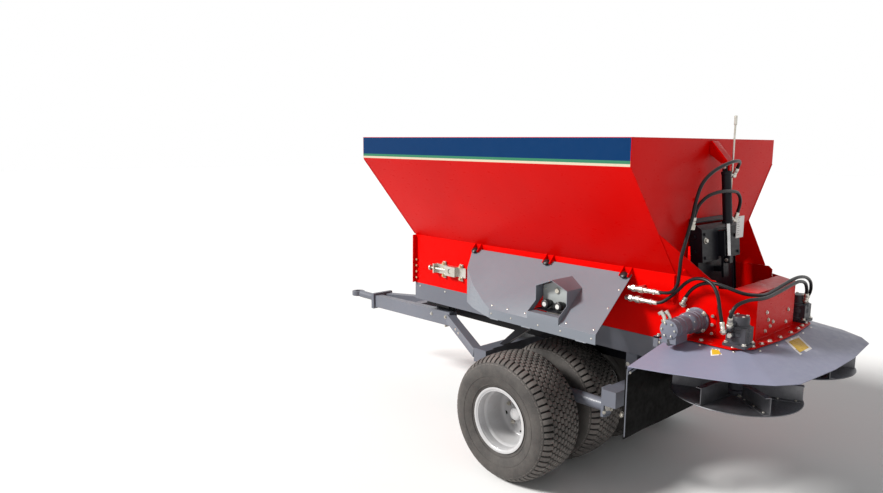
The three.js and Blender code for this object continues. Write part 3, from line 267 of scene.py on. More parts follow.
RED_TINT = (1.0, 0.20, 0.15)
LOOKS = {
    "red": painted(
        "RedEnamel", (0.640, 0.0010, 0.0004), 0.30, 0.0, 0.015, specular=0.08, tint=RED_TINT
    ),
    "grey": painted("GreyPowderCoat", (0.160, 0.176, 0.205), 0.38, 0.06, 0.06, 0.0002, specular=0.35),
    "steel": painted("ChassisPowderCoat", (0.122, 0.130, 0.158), 0.40, 0.04, 0.08, 0.0002, specular=0.30),
    "fan": painted("DeflectorPowderCoat", (0.235, 0.245, 0.335), 0.42, 0.04, 0.05, 0.0002, specular=0.35),
    "black": painted("BlackPaint", (0.008, 0.008, 0.012), 0.34, 0.02, 0.03, specular=0.15),
    "cast": painted("CastHousingPaint", (0.036, 0.036, 0.046), 0.44, 0.03, 0.10, 0.0004, specular=0.35),
    "castlight": painted("GearboxPaint", (0.128, 0.136, 0.176), 0.42, 0.05, 0.08, 0.0004),
    "rim": painted("SilverLacquer", (0.45, 0.45, 0.46), 0.30, 0.30, 0.16, 0.0001),
    "zinc": bare_metal("ZincPlate", (0.56, 0.545, 0.51), 0.32, (1, 1, 6), (0.80, 0.77, 0.68)),
    "gold": bare_metal("YellowZinc", (0.58, 0.48, 0.31), 0.34, (1, 1, 6), (0.85, 0.80, 0.66)),
    # The stainless base is darkened far below bare steel: painted shade for the discs under the
    # deflector.
    "stainless": bare_metal("StainlessWithPaintedShade", (0.17, 0.17, 0.18), 0.48, (1, 7, 1), (0.70, 0.70, 0.72)),
    "chrome": bare_metal("RodChrome", (0.55, 0.55, 0.55), 0.16, (1, 1, 0.2), (0.90, 0.90, 0.90)),
    "block": dusty_rubber("TreadBlock", (0.030, 0.029, 0.029), (0.220, 0.200, 0.185), 0.46, 0.84),
    # Tread groove: the carcass between the blocks is near black, far darker than the blocks' rubber:
    # painted shade in the grooves. The same look paints the shade in the rim's dish holes.
    "groove_shade": dusty_rubber("TreadGroovePaintedShade", (0.004, 0.004, 0.004), (0.022, 0.020, 0.019), 0.25, 0.92),
    "wall": dusty_rubber("Sidewall", (0.028, 0.026, 0.026), (0.105, 0.096, 0.088), 0.46, 0.70),
    "hose": moulded("HoseRubber", (0.006, 0.006, 0.007), 0.34, 260.0, 0.22),
    "flap": moulded("FlapRubber", (0.0022, 0.0020, 0.0018), 0.66, 120.0, 0.05),
    "belt": dusty_rubber("BeltRubber", (0.014, 0.014, 0.014), (0.07, 0.065, 0.06), 0.25, 0.80),
    "plastic": moulded("KnobPlastic", (0.008, 0.008, 0.009), 0.34, 400.0, 0.4),
    "pointer": moulded("PointerWhite", (0.62, 0.62, 0.60), 0.40, 300.0),
    "panel": painted("ValvePanel", (0.30, 0.32, 0.32), 0.42, 0.05, 0.10),
    "navy": printed("BandBlue", (0.0007, 0.026, 0.095), 0.34),
    "green": printed("StripeGreen", (0.035, 0.165, 0.095), 0.34),
    "cream": printed("StripeCream", (0.52, 0.45, 0.34), 0.34),
    "white": printed("PlainWhite", (0.80, 0.80, 0.78)),
    "yellow": printed("PlainYellow", (0.66, 0.42, 0.03)),
}


# ------------------------------------------------------------------ mesh tools


class Form:
    """Vertices and faces that grow into one mesh, each face with one of the form's looks."""

    def __init__(self, *looks):
        self.looks = list(looks)
        self.verts = []
        self.faces = []
        self.face_looks = []

    def add(self, shape, look=None):
        verts, faces = shape
        look = look or self.looks[0]
        if look not in self.looks:
            self.looks.append(look)
        start = len(self.verts)
        self.verts.extend(verts)
        self.faces.extend(tuple(start + i for i in face) for face in faces)
        self.face_looks.extend([self.looks.index(look)] * len(faces))

    def make(self, name, body, replaces=(), bevel=0.0, segments=2, sharp=32):
        mesh = bpy.data.meshes.new(name)
        mesh.from_pydata([tuple(v) for v in self.verts], [], self.faces)
        mesh.polygons.foreach_set("material_index", self.face_looks)
        for look in self.looks:
            mesh.materials.append(LOOKS[look])
        return finished(name, mesh, body, replaces, bevel, segments, sharp)


def finished(name, mesh, body, replaces, bevel, segments, sharp):
    """Tidies a mesh, gives it its edge rounding and shading, and hands it to the frame."""
    work = bmesh.new()
    work.from_mesh(mesh)
    bmesh.ops.remove_doubles(work, verts=work.verts, dist=1e-6)
    bmesh.ops.recalc_face_normals(work, faces=work.faces)
    work.to_mesh(mesh)
    work.free()
    piece = placed(name, mesh)
    mesh.shade_smooth()
    mesh.set_sharp_from_angle(angle=math.radians(sharp))
    if bevel:
        rounding = piece.modifiers.new("EdgeRounding", "BEVEL")
        rounding.width = bevel * MM
        rounding.segments = segments
        rounding.limit_method = "ANGLE"
        rounding.angle_limit = math.radians(sharp)
        rounding.use_clamp_overlap = True
        rounding.harden_normals = True
    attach(piece, body)
    if replaces:
        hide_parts(*replaces)
    return piece


BODY_OF = {
    node: body
    for body, nodes in frame["record"]["behaviour"]["bodies"].items()
    for node in nodes
}


def softened(node, look, bevel=1.2, segments=2, sharp=32, other=None, belongs=None):
    """A copy of a CAD solid with merged flat faces and rounded edges, which stands for it.

    The faces whose centre passes the test belongs() take the other look.
    """
    mesh = frame["nodes"][node].data.copy()
    mesh.materials.clear()
    mesh.materials.append(LOOKS[look])
    work = bmesh.new()
    work.from_mesh(mesh)
    bmesh.ops.remove_doubles(work, verts=work.verts, dist=2e-5)
    flat = math.radians(0.6)
    bmesh.ops.dissolve_limit(work, angle_limit=flat, verts=work.verts, edges=work.edges)
    if other:
        mesh.materials.append(LOOKS[other])
        for face in work.faces:
            if belongs(face.calc_center_median()):
                face.material_index = 1
    work.to_mesh(mesh)
    work.free()
    return finished(f"{node}_shell", mesh, BODY_OF[node], [node], bevel, segments, sharp)


def loft(rings, closed=False):
    """Quads between rings of equal length, with the two ends capped unless the rings close up."""
    size = len(rings[0])
    verts = [v for ring in rings for v in ring]
    faces = []
    spans = len(rings) if closed else len(rings) - 1
    for i in range(spans):
        here, there = i * size, ((i + 1) % len(rings)) * size
        for k in range(size):
            step = (k + 1) % size
            faces.append((here + k, here + step, there + step, there + k))
    if not closed:
        faces.append(tuple(range(size)))
        faces.append(tuple(reversed(range((len(rings) - 1) * size, len(rings) * size))))
    return verts, faces


def crosswise(direction):
    """Two unit vectors at right angles to a direction and to each other."""
    along = Vector(direction).normalized()
    helper = Vector((0, 0, 1)) if abs(along.z) < 0.9 else Vector((0, 1, 0))
    first = along.cross(helper).normalized()
    return first, along.cross(first).normalized()


def turned(start, direction, profile, sides=32, closed=False, phase=0.0):
    """A turned part: profile is [radius, distance along], in mm, from start along direction."""
    along = Vector(direction).normalized()
    first, second = crosswise(along)
    rings = []
    for radius, reach in profile:
        centre = Vector(start) + along * reach * MM
        ring = []
        for k in range(sides):
            angle = 2 * math.pi * (k + phase) / sides
            spoke = math.cos(angle) * first + math.sin(angle) * second
            ring.append(centre + spoke * radius * MM)
        rings.append(ring)
    return loft(rings, closed)


def drum(start, end, radius, chamfer=1.0, sides=32):
    """A round bar with chamfered ends, between two points in metres."""
    length = (Vector(end) - Vector(start)).length / MM
    profile = [
        (radius - chamfer, 0), (radius, chamfer),
        (radius, length - chamfer), (radius - chamfer, length),
    ]
    return turned(start, Vector(end) - Vector(start), profile, sides)


def around(count, radius, share=0.0):
    """Offsets, in mm, of points spread round a circle; share turns them by part of a step."""
    for k in range(count):
        angle = 2 * math.pi * (k + share) / count
        yield radius * math.cos(angle), radius * math.sin(angle)


def hexagon_bolt(form, place, normal, size=10, height=7, look=None, washer=True):
    """A hexagon head on its washer; size is half the width across the corners."""
    up = Vector(normal).normalized()
    seat = Vector(place)
    if washer:
        disc = [(size * 1.3, 0), (size * 1.35, 1.2), (size * 1.3, 2.2)]
        form.add(turned(seat - up * 0.0005, up, disc, 20), look)
        seat = seat + up * 0.0017
    crown = [(size, 0), (size, height * 0.8), (size * 0.86, height)]
    form.add(turned(seat, up, crown, 6, phase=0.25), look)


def rivet(form, place, normal, size=6, look=None):
    """A low domed head; size is its radius."""
    up = Vector(normal).normalized()
    dome = [(size, -0.5), (size, 0.6), (size * 0.8, size * 0.42), (size * 0.35, size * 0.6)]
    form.add(turned(Vector(place), up, dome, 12), look)


BLOCK_FACES = [(3, 2, 1, 0), (4, 5, 6, 7), (0, 1, 5, 4), (1, 2, 6, 5), (2, 3, 7, 6), (3, 0, 4, 7)]


def block(x0, x1, y0, y1, z0, z1, place=spot):
    """A rectangular block; place(x, y, z) says where a point goes."""
    base = ((x0, y0), (x1, y0), (x1, y1), (x0, y1))
    return [place(x, y, z) for z in (z0, z1) for x, y in base], BLOCK_FACES


def prism(outline, place, low, high):
    """An outline swept along the third axis; place(u, v, w) says where a point goes."""
    return loft([[place(u, v, w) for u, v in outline] for w in (low, high)])


def along_x(u, v, w):
    """For prism: the outline is (y, z) and it is swept across the machine."""
    return spot(w, u, v)


def along_y(u, v, w):
    """For prism: the outline is (x, z) and it is swept along the machine."""
    return spot(u, w, v)


CURVE_STAGES = (((0, 1), (1, 2), (2, 3)), ((0, 2), (1, 3)), ((1, 2),))


def catmull_rom(points, steps):
    """Points of a centripetal Catmull-Rom curve, evenly spread between the given points.

    Each stage mixes neighbours of the stage before, between the two times that it names.
    """
    knots = [Vector(p) for p in points]
    knots = [2 * knots[0] - knots[1], *knots, 2 * knots[-1] - knots[-2]]
    curve = []
    for i in range(1, len(knots) - 2):
        four = knots[i - 1 : i + 3]
        times = [0.0]
        for here, there in zip(four, four[1:]):
            times.append(times[-1] + (there - here).length ** 0.5)
        for k in range(steps):
            t = times[1] + (times[2] - times[1]) * k / steps
            mixed = four
            for stage in CURVE_STAGES:
                shares = [(t - times[a]) / (times[b] - times[a]) for a, b in stage]
                mixed = [p.lerp(q, share) for p, q, share in zip(mixed, mixed[1:], shares)]
            curve.append(mixed[0])
    curve.append(knots[-2].copy())
    return curve


def swept(path, radius, sides=14):
    """A round tube along a path in metres."""
    first, second = crosswise(path[1] - path[0])
    rings = []
    for i, centre in enumerate(path):
        ahead = path[min(i + 1, len(path) - 1)] - path[max(i - 1, 0)]
        along = ahead.normalized()
        first = (first - along * first.dot(along)).normalized()
        second = along.cross(first)
        rings.append([
            centre + (math.cos(angle) * first + math.sin(angle) * second) * radius * MM
            for angle in (2 * math.pi * k / sides for k in range(sides))
        ])
    return loft(rings)


# ------------------------------------------------------------------ hopper

HOPPER = {
    "half": 710, "length": 1850, "rim": 1756, "band": 1632, "floor_half": 290, "slope_z": 1130,
    "sheet": 4,
}
RIM_FOLD = {"reach": 22, "depth": 16, "sheet": 3, "end_gap": 5}


def rim_fold(wall, way):
    """The section of the rim's inward fold, from a wall's inner face; way points inwards."""
    sheet, top = RIM_FOLD["sheet"], HOPPER["rim"] - RIM_FOLD["sheet"]
    tip, low = wall + way * RIM_FOLD["reach"], HOPPER["rim"] - RIM_FOLD["depth"]
    under = tip - way * sheet
    return [(wall, top), (tip, top), (tip, low), (under, low), (under, top - sheet), (wall, top - sheet)]


def make_hopper():
    """The four walls, the folded rim and the coloured bands below it."""
    for node in ("hopper_left_side", "hopper_right_side", "hopper_front_wall"):
        softened(node, "red", 1.4)
    softened("hopper_rear_wall", "red", 1.2)
    half, length, rim = HOPPER["half"], HOPPER["length"], HOPPER["rim"]
    sheet, end = HOPPER["sheet"], RIM_FOLD["end_gap"]
    lip = Form("red")
    for side in SIDES:
        lip.add(prism(rim_fold(side * (half - sheet), -side), along_y, end, length - end))
    for wall, way in ((sheet, 1), (length - sheet, -1)):
        lip.add(prism(rim_fold(wall, way), along_x, -half + end, half - end))
    lip.make("hopper_rim_fold", "frame", bevel=1.0)
    stripes = [("navy", 1658, rim - 2), ("green", 1644.5, 1658), ("cream", HOPPER["band"] + 1, 1644.5)]
    for side in SIDES:
        band = Form(*[look for look, _, _ in stripes])
        face = side * (half + 0.25)
        for look, low, high in stripes:
            band.add(block(side * (half - 1), face, 2, length - 2, low, high), look)
        band.make(f"{SIDE_NAMES[side]}_hopper_band", "frame", bevel=0.1, segments=1)


def sloping_spot(side, y, z, out=0.0):
    """A point on the outside of a hopper side's slope, with its distance out of the sheet."""
    run = (HOPPER["half"] - HOPPER["floor_half"]) / (HOPPER["band"] - HOPPER["slope_z"])
    x = HOPPER["floor_half"] + (z - HOPPER["slope_z"]) * run
    tilt = math.atan(run)
    return spot(side * (x + out * math.cos(tilt)), y, z - out * math.sin(tilt))


KNOB_Y = {"front": 1270, "middle": 730, "rear": 250}
KNOB_LUG = [(-332, 1091), (-286, 1140), (-286, 1112), (-318, 1082)]
SEAM = {"low": 1136, "height": 490, "steps": 40, "radius": 2.2, "proud": 0.4}


def make_hopper_details():
    """Lugs for the cover knobs, welded corner seams and the small bolts near the outlet."""
    lugs = Form("red")
    for y in KNOB_Y.values():
        lugs.add(prism(KNOB_LUG, along_y, y - 26, y - 21))
        lugs.add(prism(KNOB_LUG, along_y, y + 21, y + 26))
    lugs.make("cover_knob_lugs", "frame", bevel=0.8)
    seams = Form("red")
    steps = SEAM["steps"]
    heights = [SEAM["low"] + SEAM["height"] * t / steps for t in range(steps + 1)]
    for side in SIDES:
        for y in (-1, HOPPER["length"]):
            route = [sloping_spot(side, y, z, SEAM["proud"]) for z in heights]
            seams.add(swept(route, SEAM["radius"], 8))
    seams.make("corner_weld_seams", "frame")
    bolts = Form("red")
    for side in SIDES:
        for x, z in ((250, 1268), (150, 1470)):
            hexagon_bolt(bolts, spot(side * x, 0, z), (0, -1, 0), 7, 5)
        hexagon_bolt(bolts, sloping_spot(side, -60, 1160), (side * 0.76, 0, -0.64), 7, 5)
    bolts.make("rear_wall_bolts", "frame")


# ------------------------------------------------------------------ conveyor


CONVEYOR = {
    "drive_y": -120, "idler_y": 1485, "z": 935, "roller_half": 262, "roller_radius": 50,
    "belt_half": 270, "belt_inner": 50.4, "belt_outer": 56.4,
}
CLEAT = {"first": 40, "pitch": 58, "count": 27}


def make_conveyor():
    """The two side plates with their bolts and flanges, the bed, the belt and its rollers."""
    idler, height = CONVEYOR["idler_y"], CONVEYOR["z"]
    for side in SIDES:
        name = SIDE_NAMES[side]
        softened(f"{name}_conveyor_side", "red", 0.9)
        softened(f"{name}_belt_tensioner", "zinc", 1.4)
        heads = Form("gold")
        for dy in (-76, 76):
            for dz in (-38, 38):
                hexagon_bolt(heads, spot(side * 305.5, idler + dy, height + dz), (side, 0, 0), 9, 7)
        for z in (845, 885, 925, 965):
            hexagon_bolt(heads, spot(side * 297, 1830, z), (side, 0, 0), 8, 5, washer=False)
        for z in (890, 930, 970):
            hexagon_bolt(heads, spot(side * 297, -197, z), (side, 0, 0), 8, 5, "zinc", washer=False)
        heads.make(f"{name}_conveyor_bolts", "frame")
        flange = Form("red")
        flange.add(block(side * 290, side * 316, 1845, 1849.5, 812, 1128))
        flange.add(block(side * 290, side * 312, -10, -6, 1000, 1128))
        flange.make(f"{name}_conveyor_flanges", "frame", bevel=1.0)
    softened("belt_slider_bed", "grey", 0.6, 1)
    make_belt()
    make_roller("drive_roller", CONVEYOR["drive_y"], 17.5, (-330, 300))
    make_roller("idler_roller", idler, 15, (-322, 322))


def make_belt():
    """The belt loop, with rounded edges and the low cross cleats that carry the load."""
    half, inner, outer = CONVEYOR["belt_half"], CONVEYOR["belt_inner"], CONVEYOR["belt_outer"]
    belt = Form("belt")
    edges = [(-half, outer), (half, outer), (half, inner), (-half, inner)]
    belt.add(loft([belt_edge(x, radius) for x, radius in edges], closed=True))
    for k in range(CLEAT["count"]):
        y = CONVEYOR["drive_y"] + CLEAT["first"] + k * CLEAT["pitch"]
        cleat = [(y, 991), (y + 6, 992.6), (y + 14, 992.6), (y + 20, 991)]
        belt.add(prism(cleat, along_x, -half + 8, half - 8))
    belt.make("conveyor_belt_loop", "frame", ["conveyor_belt"], bevel=0.8, segments=1)


def belt_edge(x, radius, arc=20):
    """The loop's outline at one x: a half circle round each roller, joined by straights."""
    edge = []
    for centre, start in ((CONVEYOR["idler_y"], -0.5), (CONVEYOR["drive_y"], 0.5)):
        for k in range(arc + 1):
            angle = math.pi * (start + k / arc)
            y, z = centre + radius * math.cos(angle), CONVEYOR["z"] + radius * math.sin(angle)
            edge.append(spot(x, y, z))
    return edge


def make_roller(node, y, shaft, ends):
    """A steel roller with its shaft; ends are the shaft's two ends across the machine."""
    z, half, radius = CONVEYOR["z"], CONVEYOR["roller_half"], CONVEYOR["roller_radius"]
    roller = Form("zinc")
    roller.add(drum(spot(-half, y, z), spot(half, y, z), radius, 3, 48))
    roller.add(drum(spot(ends[0], y, z), spot(ends[1], y, z), shaft, 2, 24))
    roller.make(f"{node}_turned", BODY_OF[node], [node])


GEARBOX = {"flange": 60, "body": 49, "neck": 38, "motor": 43}


def make_gearbox():
    """The gearbox on the left side plate, with its ribbed body."""
    y, z = CONVEYOR["drive_y"], CONVEYOR["z"]
    out = (-1, 0, 0)
    case = Form("castlight")
    flange, body, neck = GEARBOX["flange"], GEARBOX["body"], GEARBOX["neck"]
    profile = [
        (20, 0), (flange, 0), (flange, 10), (flange - 3, 12), (body + 4, 12), (body + 1, 18),
        (body, 24), (body, 34), (body - 4, 37), (body - 4, 41), (body, 44), (body, 58),
        (body - 4, 61), (body - 4, 65), (body, 68), (body, 92), (body - 3, 98), (neck + 3, 106),
        (neck, 110), (neck, 138), (20, 138),
    ]
    case.add(turned(spot(-290.3, y, z), out, profile, 48))
    for dy, dz in around(8, body - 8, 0.5):
        case.add(drum(spot(-382, y + dy, z + dz), spot(-393, y + dy, z + dz), 5, 0.8, 10), "zinc")
    for dy, dz in around(4, 52, 0.5):
        hexagon_bolt(case, spot(-302.5, y + dy, z + dz), out, 8.5, 7, "zinc")
    case.make("belt_gearbox_case", "frame", ["belt_gearbox"], bevel=0.8)


def make_belt_motor():
    """The hydraulic motor on the gearbox's end, with its valve block and two bent fittings."""
    y, z = CONVEYOR["drive_y"], CONVEYOR["z"]
    out = (-1, 0, 0)
    motor = Form("castlight")
    radius = GEARBOX["motor"]
    profile = [
        (34, 0), (radius, 1.5), (radius, 28), (radius - 3, 30), (radius - 3, 33), (radius, 35),
        (radius, 74), (radius - 3, 76), (radius - 3, 79), (radius, 81), (radius - 1, 112), (24, 116),
    ]
    motor.add(turned(spot(-428.4, y, z), out, profile, 40))
    motor.add(block(-537, -438, y - 34, y + 34, z - 62, z - 8), "castlight")
    motor.add(drum(spot(-519, y + 4, z - 42), spot(-519, y - 5, z - 71), 19, 3, 24), "cast")
    for dy, dz in around(6, 30):
        end, root = spot(-540.5, y + dy, z + dz), spot(-549.5, y + dy, z + dz)
        motor.add(drum(end, root, 4.5, 0.8, 6), "zinc")
    elbow = [(0, 0, 30), (0, 2, 46), (-2, 8, 58), (-4, 18, 68)]
    lower_nut = [(13, -4), (14, -2), (14, 8), (12, 10)]
    upper_nut = [(12, -8), (13, -6), (13, 4), (11, 6)]
    for x, dy in ((-508, 14), (-532, 26)):
        bend = [spot(x + ex, y + dy + ey, z + ez) for ex, ey, ez in elbow]
        motor.add(swept(catmull_rom(bend, 5), 8, 12), "zinc")
        motor.add(turned(bend[0], (0, 0.1, 1), lower_nut, 6), "zinc")
        motor.add(turned(bend[-1], (-0.1, 0.5, 0.7), upper_nut, 6), "zinc")
    motor.make("belt_motor_case", "frame", ["belt_motor"], bevel=1.6)


# ------------------------------------------------------------------ discharge

DISC = {"x": 330, "y": -335, "plate": 655, "vanes": 6, "turn": 0.9}
DECK_TOP = 872
DECK_BOLTS = [(380, -90), (380, -190), (372, -330), (300, -382), (230, -390), (160, -397), (60, -402)]
CHUTE_CORNERS = [(289, -213), (210, -353), (0, -353)]
CHUTE_REAR_BOLTS = [
    (-110, 900), (-84, 948), (-60, 915), (-104, 985), (-30, 930), (120, 905), (140, 960),
]


def make_discharge():
    """The chute and deck with their bolts and welds, then everything that hangs on them."""
    softened("discharge_chute", "red", 1.6)
    softened("spinner_deck", "red", 1.2)
    bolts = Form("zinc")
    for x, z in CHUTE_REAR_BOLTS:
        hexagon_bolt(bolts, spot(x, -353, z), (0, -1, 0), 7, 5)
    for side in SIDES:
        for x, y in DECK_BOLTS:
            hexagon_bolt(bolts, spot(side * x, y, DECK_TOP), (0, 0, 1), 8.5, 6)
        corner = Vector((side * 0.871, -0.491, 0))
        for z in (905, 950, 995):
            hexagon_bolt(bolts, spot(side * 262, -262, z), corner, 7, 5)
    bolts.make("discharge_bolts", "frame")
    welds = Form("red")
    for side in SIDES:
        foot = [spot(side * x, y, DECK_TOP + 1.5) for x, y in CHUTE_CORNERS]
        run = []
        for a, b in zip(foot, foot[1:]):
            run.extend(a.lerp(b, k / 10) for k in range(10))
        welds.add(swept(run + [foot[-1]], 3, 8))
    welds.make("chute_foot_welds", "frame")
    make_deflector()
    make_deflector_details()
    for side in SIDES:
        make_disc_motor(side)
        make_disc(side)
    make_flap()


FAN_OUTER = [
    (746, -56), (702, -207), (657, -318), (598, -460), (515, -570), (425, -628), (120, -656),
]
FAN_INNER = [
    (380, -56), (380, -170), (380, -250), (378, -325), (340, -366), (250, -386), (95, -398),
]
FAN = {"outer_z": 797, "inner_z": 862, "sheet": 3, "steps": 6}
FAN_RIVETS = [(410, -100), (410, -200), (395, -345), (290, -410), (150, -424)]


def fan_edge(points):
    """Short steps along an edge, from the right front corner round the back to the left one."""
    whole = points + [(-x, y) for x, y in reversed(points)]
    edge = []
    for (x0, y0), (x1, y1) in zip(whole, whole[1:]):
        for k in range(FAN["steps"]):
            t = k / FAN["steps"]
            edge.append((x0 + (x1 - x0) * t, y0 + (y1 - y0) * t))
    return edge + [whole[-1]]


def make_deflector():
    """The folded fan: flat facets from the deck's edge down to the rim."""
    outer, inner = fan_edge(FAN_OUTER), fan_edge(FAN_INNER)
    sheet, low, high = FAN["sheet"], FAN["outer_z"], FAN["inner_z"]
    facets = [
        [spot(ix, iy, high), spot(ix, iy, high + sheet), spot(ox, oy, low + sheet), spot(ox, oy, low)]
        for (ox, oy), (ix, iy) in zip(outer, inner)
    ]
    fan = Form("fan")
    fan.add(loft(facets))
    fan.make("deflector_fan", "frame", ["deflector"], bevel=0.7, segments=1, sharp=9)


def make_deflector_details():
    """The folded front flanges of the fan, its bolts, and two plain stickers."""
    flange = Form("fan")
    for side in SIDES:
        outline = [(side * 388, 862), (side * 745, 798.5), (side * 745, 776), (side * 388, 838)]
        flange.add(prism(outline, along_y, -56.5, -54))
    flange.make("deflector_front_flanges", "frame", bevel=0.5)
    rivets = Form("zinc")
    slope = Vector((0.0, -0.24, 0.97))
    for x, y in [(0, -428)] + [(side * x, y) for side in SIDES for x, y in FAN_RIVETS]:
        rivet(rivets, fan_spot(x, y, 0), slope, 6)
    rivets.make("deflector_rivets", "frame")
    clamp = Form("steel")
    clamp.add(block(-400, -342, 6, 30, 842, 850))
    clamp.add(block(-400, -394, 6, 30, 800, 850))
    hexagon_bolt(clamp, spot(-371, 18, 850), (0, 0, 1), 9, 7, "zinc")
    clamp.make("deflector_front_clamp", "frame", bevel=0.8)
    sticker("deflector_sticker", STICKERS["large"])
    sticker("motor_sticker", STICKERS["small"])


def fan_spot(x, y, out):
    """A point above the fan's top face by out, on the facet edge that passes nearest to it."""
    outer, inner = fan_edge(FAN_OUTER), fan_edge(FAN_INNER)
    best = None
    for (ox, oy), (ix, iy) in zip(outer, inner):
        run = Vector((ox - ix, oy - iy))
        t = Vector((x - ix, y - iy)).dot(run) / run.length_squared
        miss = (Vector((x - ix, y - iy)) - run * t).length
        if best is None or miss < best[0]:
            best = (miss, t)
    t = min(max(best[1], 0), 1)
    z = FAN["inner_z"] + (FAN["outer_z"] - FAN["inner_z"]) * t + FAN["sheet"]
    return spot(x, y, z + out)


STICKERS = {
    "large": [(-52, -421), (88, -428), (0, -520), (-140, -520)],
    "small": [(-414, -250), (-406, -288), (-440, -318), (-472, -282)],
}


def sticker(name, corners):
    """A plain sticker on the fan: a white ground with a yellow field, and no lettering."""
    form = Form("white", "yellow")
    middle = sum((Vector(corner) for corner in corners), Vector((0, 0))) / len(corners)
    for look, share, lift in (("white", 1.0, 0.3), ("yellow", 0.76, 0.5)):
        top, base = [], []
        for corner in corners:
            x, y = middle + (Vector(corner) - middle) * share
            top.append(fan_spot(x, y, lift))
            base.append(fan_spot(x, y, -1))
        form.add(loft([base, top]), look)
    form.make(name, "frame")


DISC_MOTOR = {"foot_top": 886, "block_top": 958, "cap": 1003, "foot_bolts": 39}


def make_disc_motor(side):
    """A cast gear motor on its foot plate, with its bolts and the two ports for its hoses."""
    x, y = side * DISC["x"], DISC["y"]
    up = (0, 0, 1)
    foot_top, reach = DISC_MOTOR["foot_top"], DISC_MOTOR["foot_bolts"]
    case = Form("cast")
    case.add(block(x - 50, x + 50, y - 50, y + 50, DECK_TOP + 0.4, foot_top))
    case.add(block(x - 40, x + 40, y - 42, y + 42, foot_top, DISC_MOTOR["block_top"]))
    profile = [
        (30, 0), (46, 0), (46, 8), (43, 11), (43, 30), (46, 33), (46, 50), (43, 53), (43, 62),
        (46, 65), (46, 76), (43, 79), (38, 81), (38, 112), (36, 117), (28, 118),
    ]
    case.add(turned(spot(x, y, foot_top), up, profile, 40))
    for dx in (-reach, reach):
        for dy in (-reach, reach):
            hexagon_bolt(case, spot(x + dx, y + dy, foot_top), up, 8.5, 7, "zinc")
    for dx, dy in around(4, 30, 0.5):
        cap = spot(x + dx, y + dy, DISC_MOTOR["cap"])
        hexagon_bolt(case, cap, up, 6.5, 5, "zinc", washer=False)
    port_nut = [(12, 0), (13, 1.5), (13, 10), (11, 12)]
    for z in (925, 975):
        start = spot(x + side * 38, y + 10, z)
        case.add(drum(start, start + Vector((side * 0.020, 0.004, 0)), 13, 1.5, 16), "cast")
        nut_seat = start + Vector((side * 0.018, 0.004, 0))
        case.add(turned(nut_seat, (side, 0.15, 0), port_nut, 6), "zinc")
    name = SIDE_NAMES[side]
    case.make(f"{name}_disc_motor_case", "frame", [f"{name}_disc_motor"], bevel=2.0, segments=3)


DISC_PROFILE = [
    (30, 1), (200, 0.4), (264, 0), (266.5, 0.6), (268, 2.5), (266.5, 4.4), (264, 5), (200, 5),
    (60, 5.2), (30, 5.2),
]
HUB_PROFILE = [
    (14, 0), (38, 0), (38, 20), (36, 23), (30, 26), (30, 58), (27, 64), (15, 66), (15, 238),
    (13, 240),
]


def make_disc(side):
    """A dished stainless disc with its channel vanes, hub and shaft; its metal is darkened as painted
    shade under the deflector.
    """
    x, y, z = side * DISC["x"], DISC["y"], DISC["plate"]
    up = (0, 0, 1)
    plate = Form("stainless")
    plate.add(turned(spot(x, y, z), up, DISC_PROFILE, 96))
    plate.add(turned(spot(x, y, z), up, HUB_PROFILE, 32), "cast")
    for dx, dy in around(4, 46, 0.5):
        hexagon_bolt(plate, spot(x + dx, y + dy, z + 5), up, 7, 6, "zinc")
    for k in range(DISC["vanes"]):
        angle = 2 * math.pi * (k + DISC["turn"]) / DISC["vanes"]
        plate.add(vane_shape(x, y, z + 5, angle, side))
        for reach in (95, 165, 235):
            place = Vector((math.cos(angle), math.sin(angle), 0)) * reach * MM
            across = Vector((-math.sin(angle), math.cos(angle), 0)) * side * 13 * MM
            hexagon_bolt(plate, spot(x, y, z + 8) + place + across, up, 5.5, 4, "zinc", washer=False)
    name = SIDE_NAMES[side]
    replaced = [f"{name}_spinner_disc"]
    plate.make(f"{name}_disc_plate", f"{name}_disc", replaced, bevel=0.5, segments=1, sharp=20)


def vane_shape(x, y, z, angle, side):
    """A channel-section vane: foot, upright web and top lip, flared a little at its tip."""
    web, lip, height = 3.5, 26, 74
    section = [
        (0, 0), (lip, 0), (lip, web), (web, web), (web, height - web), (lip, height - web),
        (lip, height), (0, height),
    ]
    along = Vector((math.cos(angle), math.sin(angle), 0))
    across = Vector((-math.sin(angle), math.cos(angle), 0)) * side
    rings = []
    for reach, flare in ((60, 0.92), (110, 0.96), (160, 1.0), (210, 1.0), (262, 1.0)):
        rings.append([
            spot(x, y, z) + along * reach * MM + across * u * MM + Vector((0, 0, v * flare * MM))
            for u, v in section
        ])
    return loft(rings)


FLAP = {
    "half": 750, "bottom": 470, "side_top": 793, "deck_top": 856, "deck_half": 380, "y": -50,
    "thick": 5,
}


FLAP_WAVES = [(1.8, 1, 118, 0.0), (0.9, 1, 47, 1.3), (0.12, 2, 92, 0.7)]


def flap_wave(x, t):
    """How far the sheet bulges, from its waves of (size, power of the drop, length, phase)."""
    return sum(
        size * t ** power * math.sin(x / length + phase) for size, power, length, phase in FLAP_WAVES
    )


def flap_top(x):
    """The flap's top edge follows the underside of the fan and the deck."""
    past = max(0.0, abs(x) - FLAP["deck_half"])
    fall = (FLAP["deck_top"] - FLAP["side_top"]) / (FLAP["half"] - FLAP["deck_half"])
    return FLAP["deck_top"] - past * fall


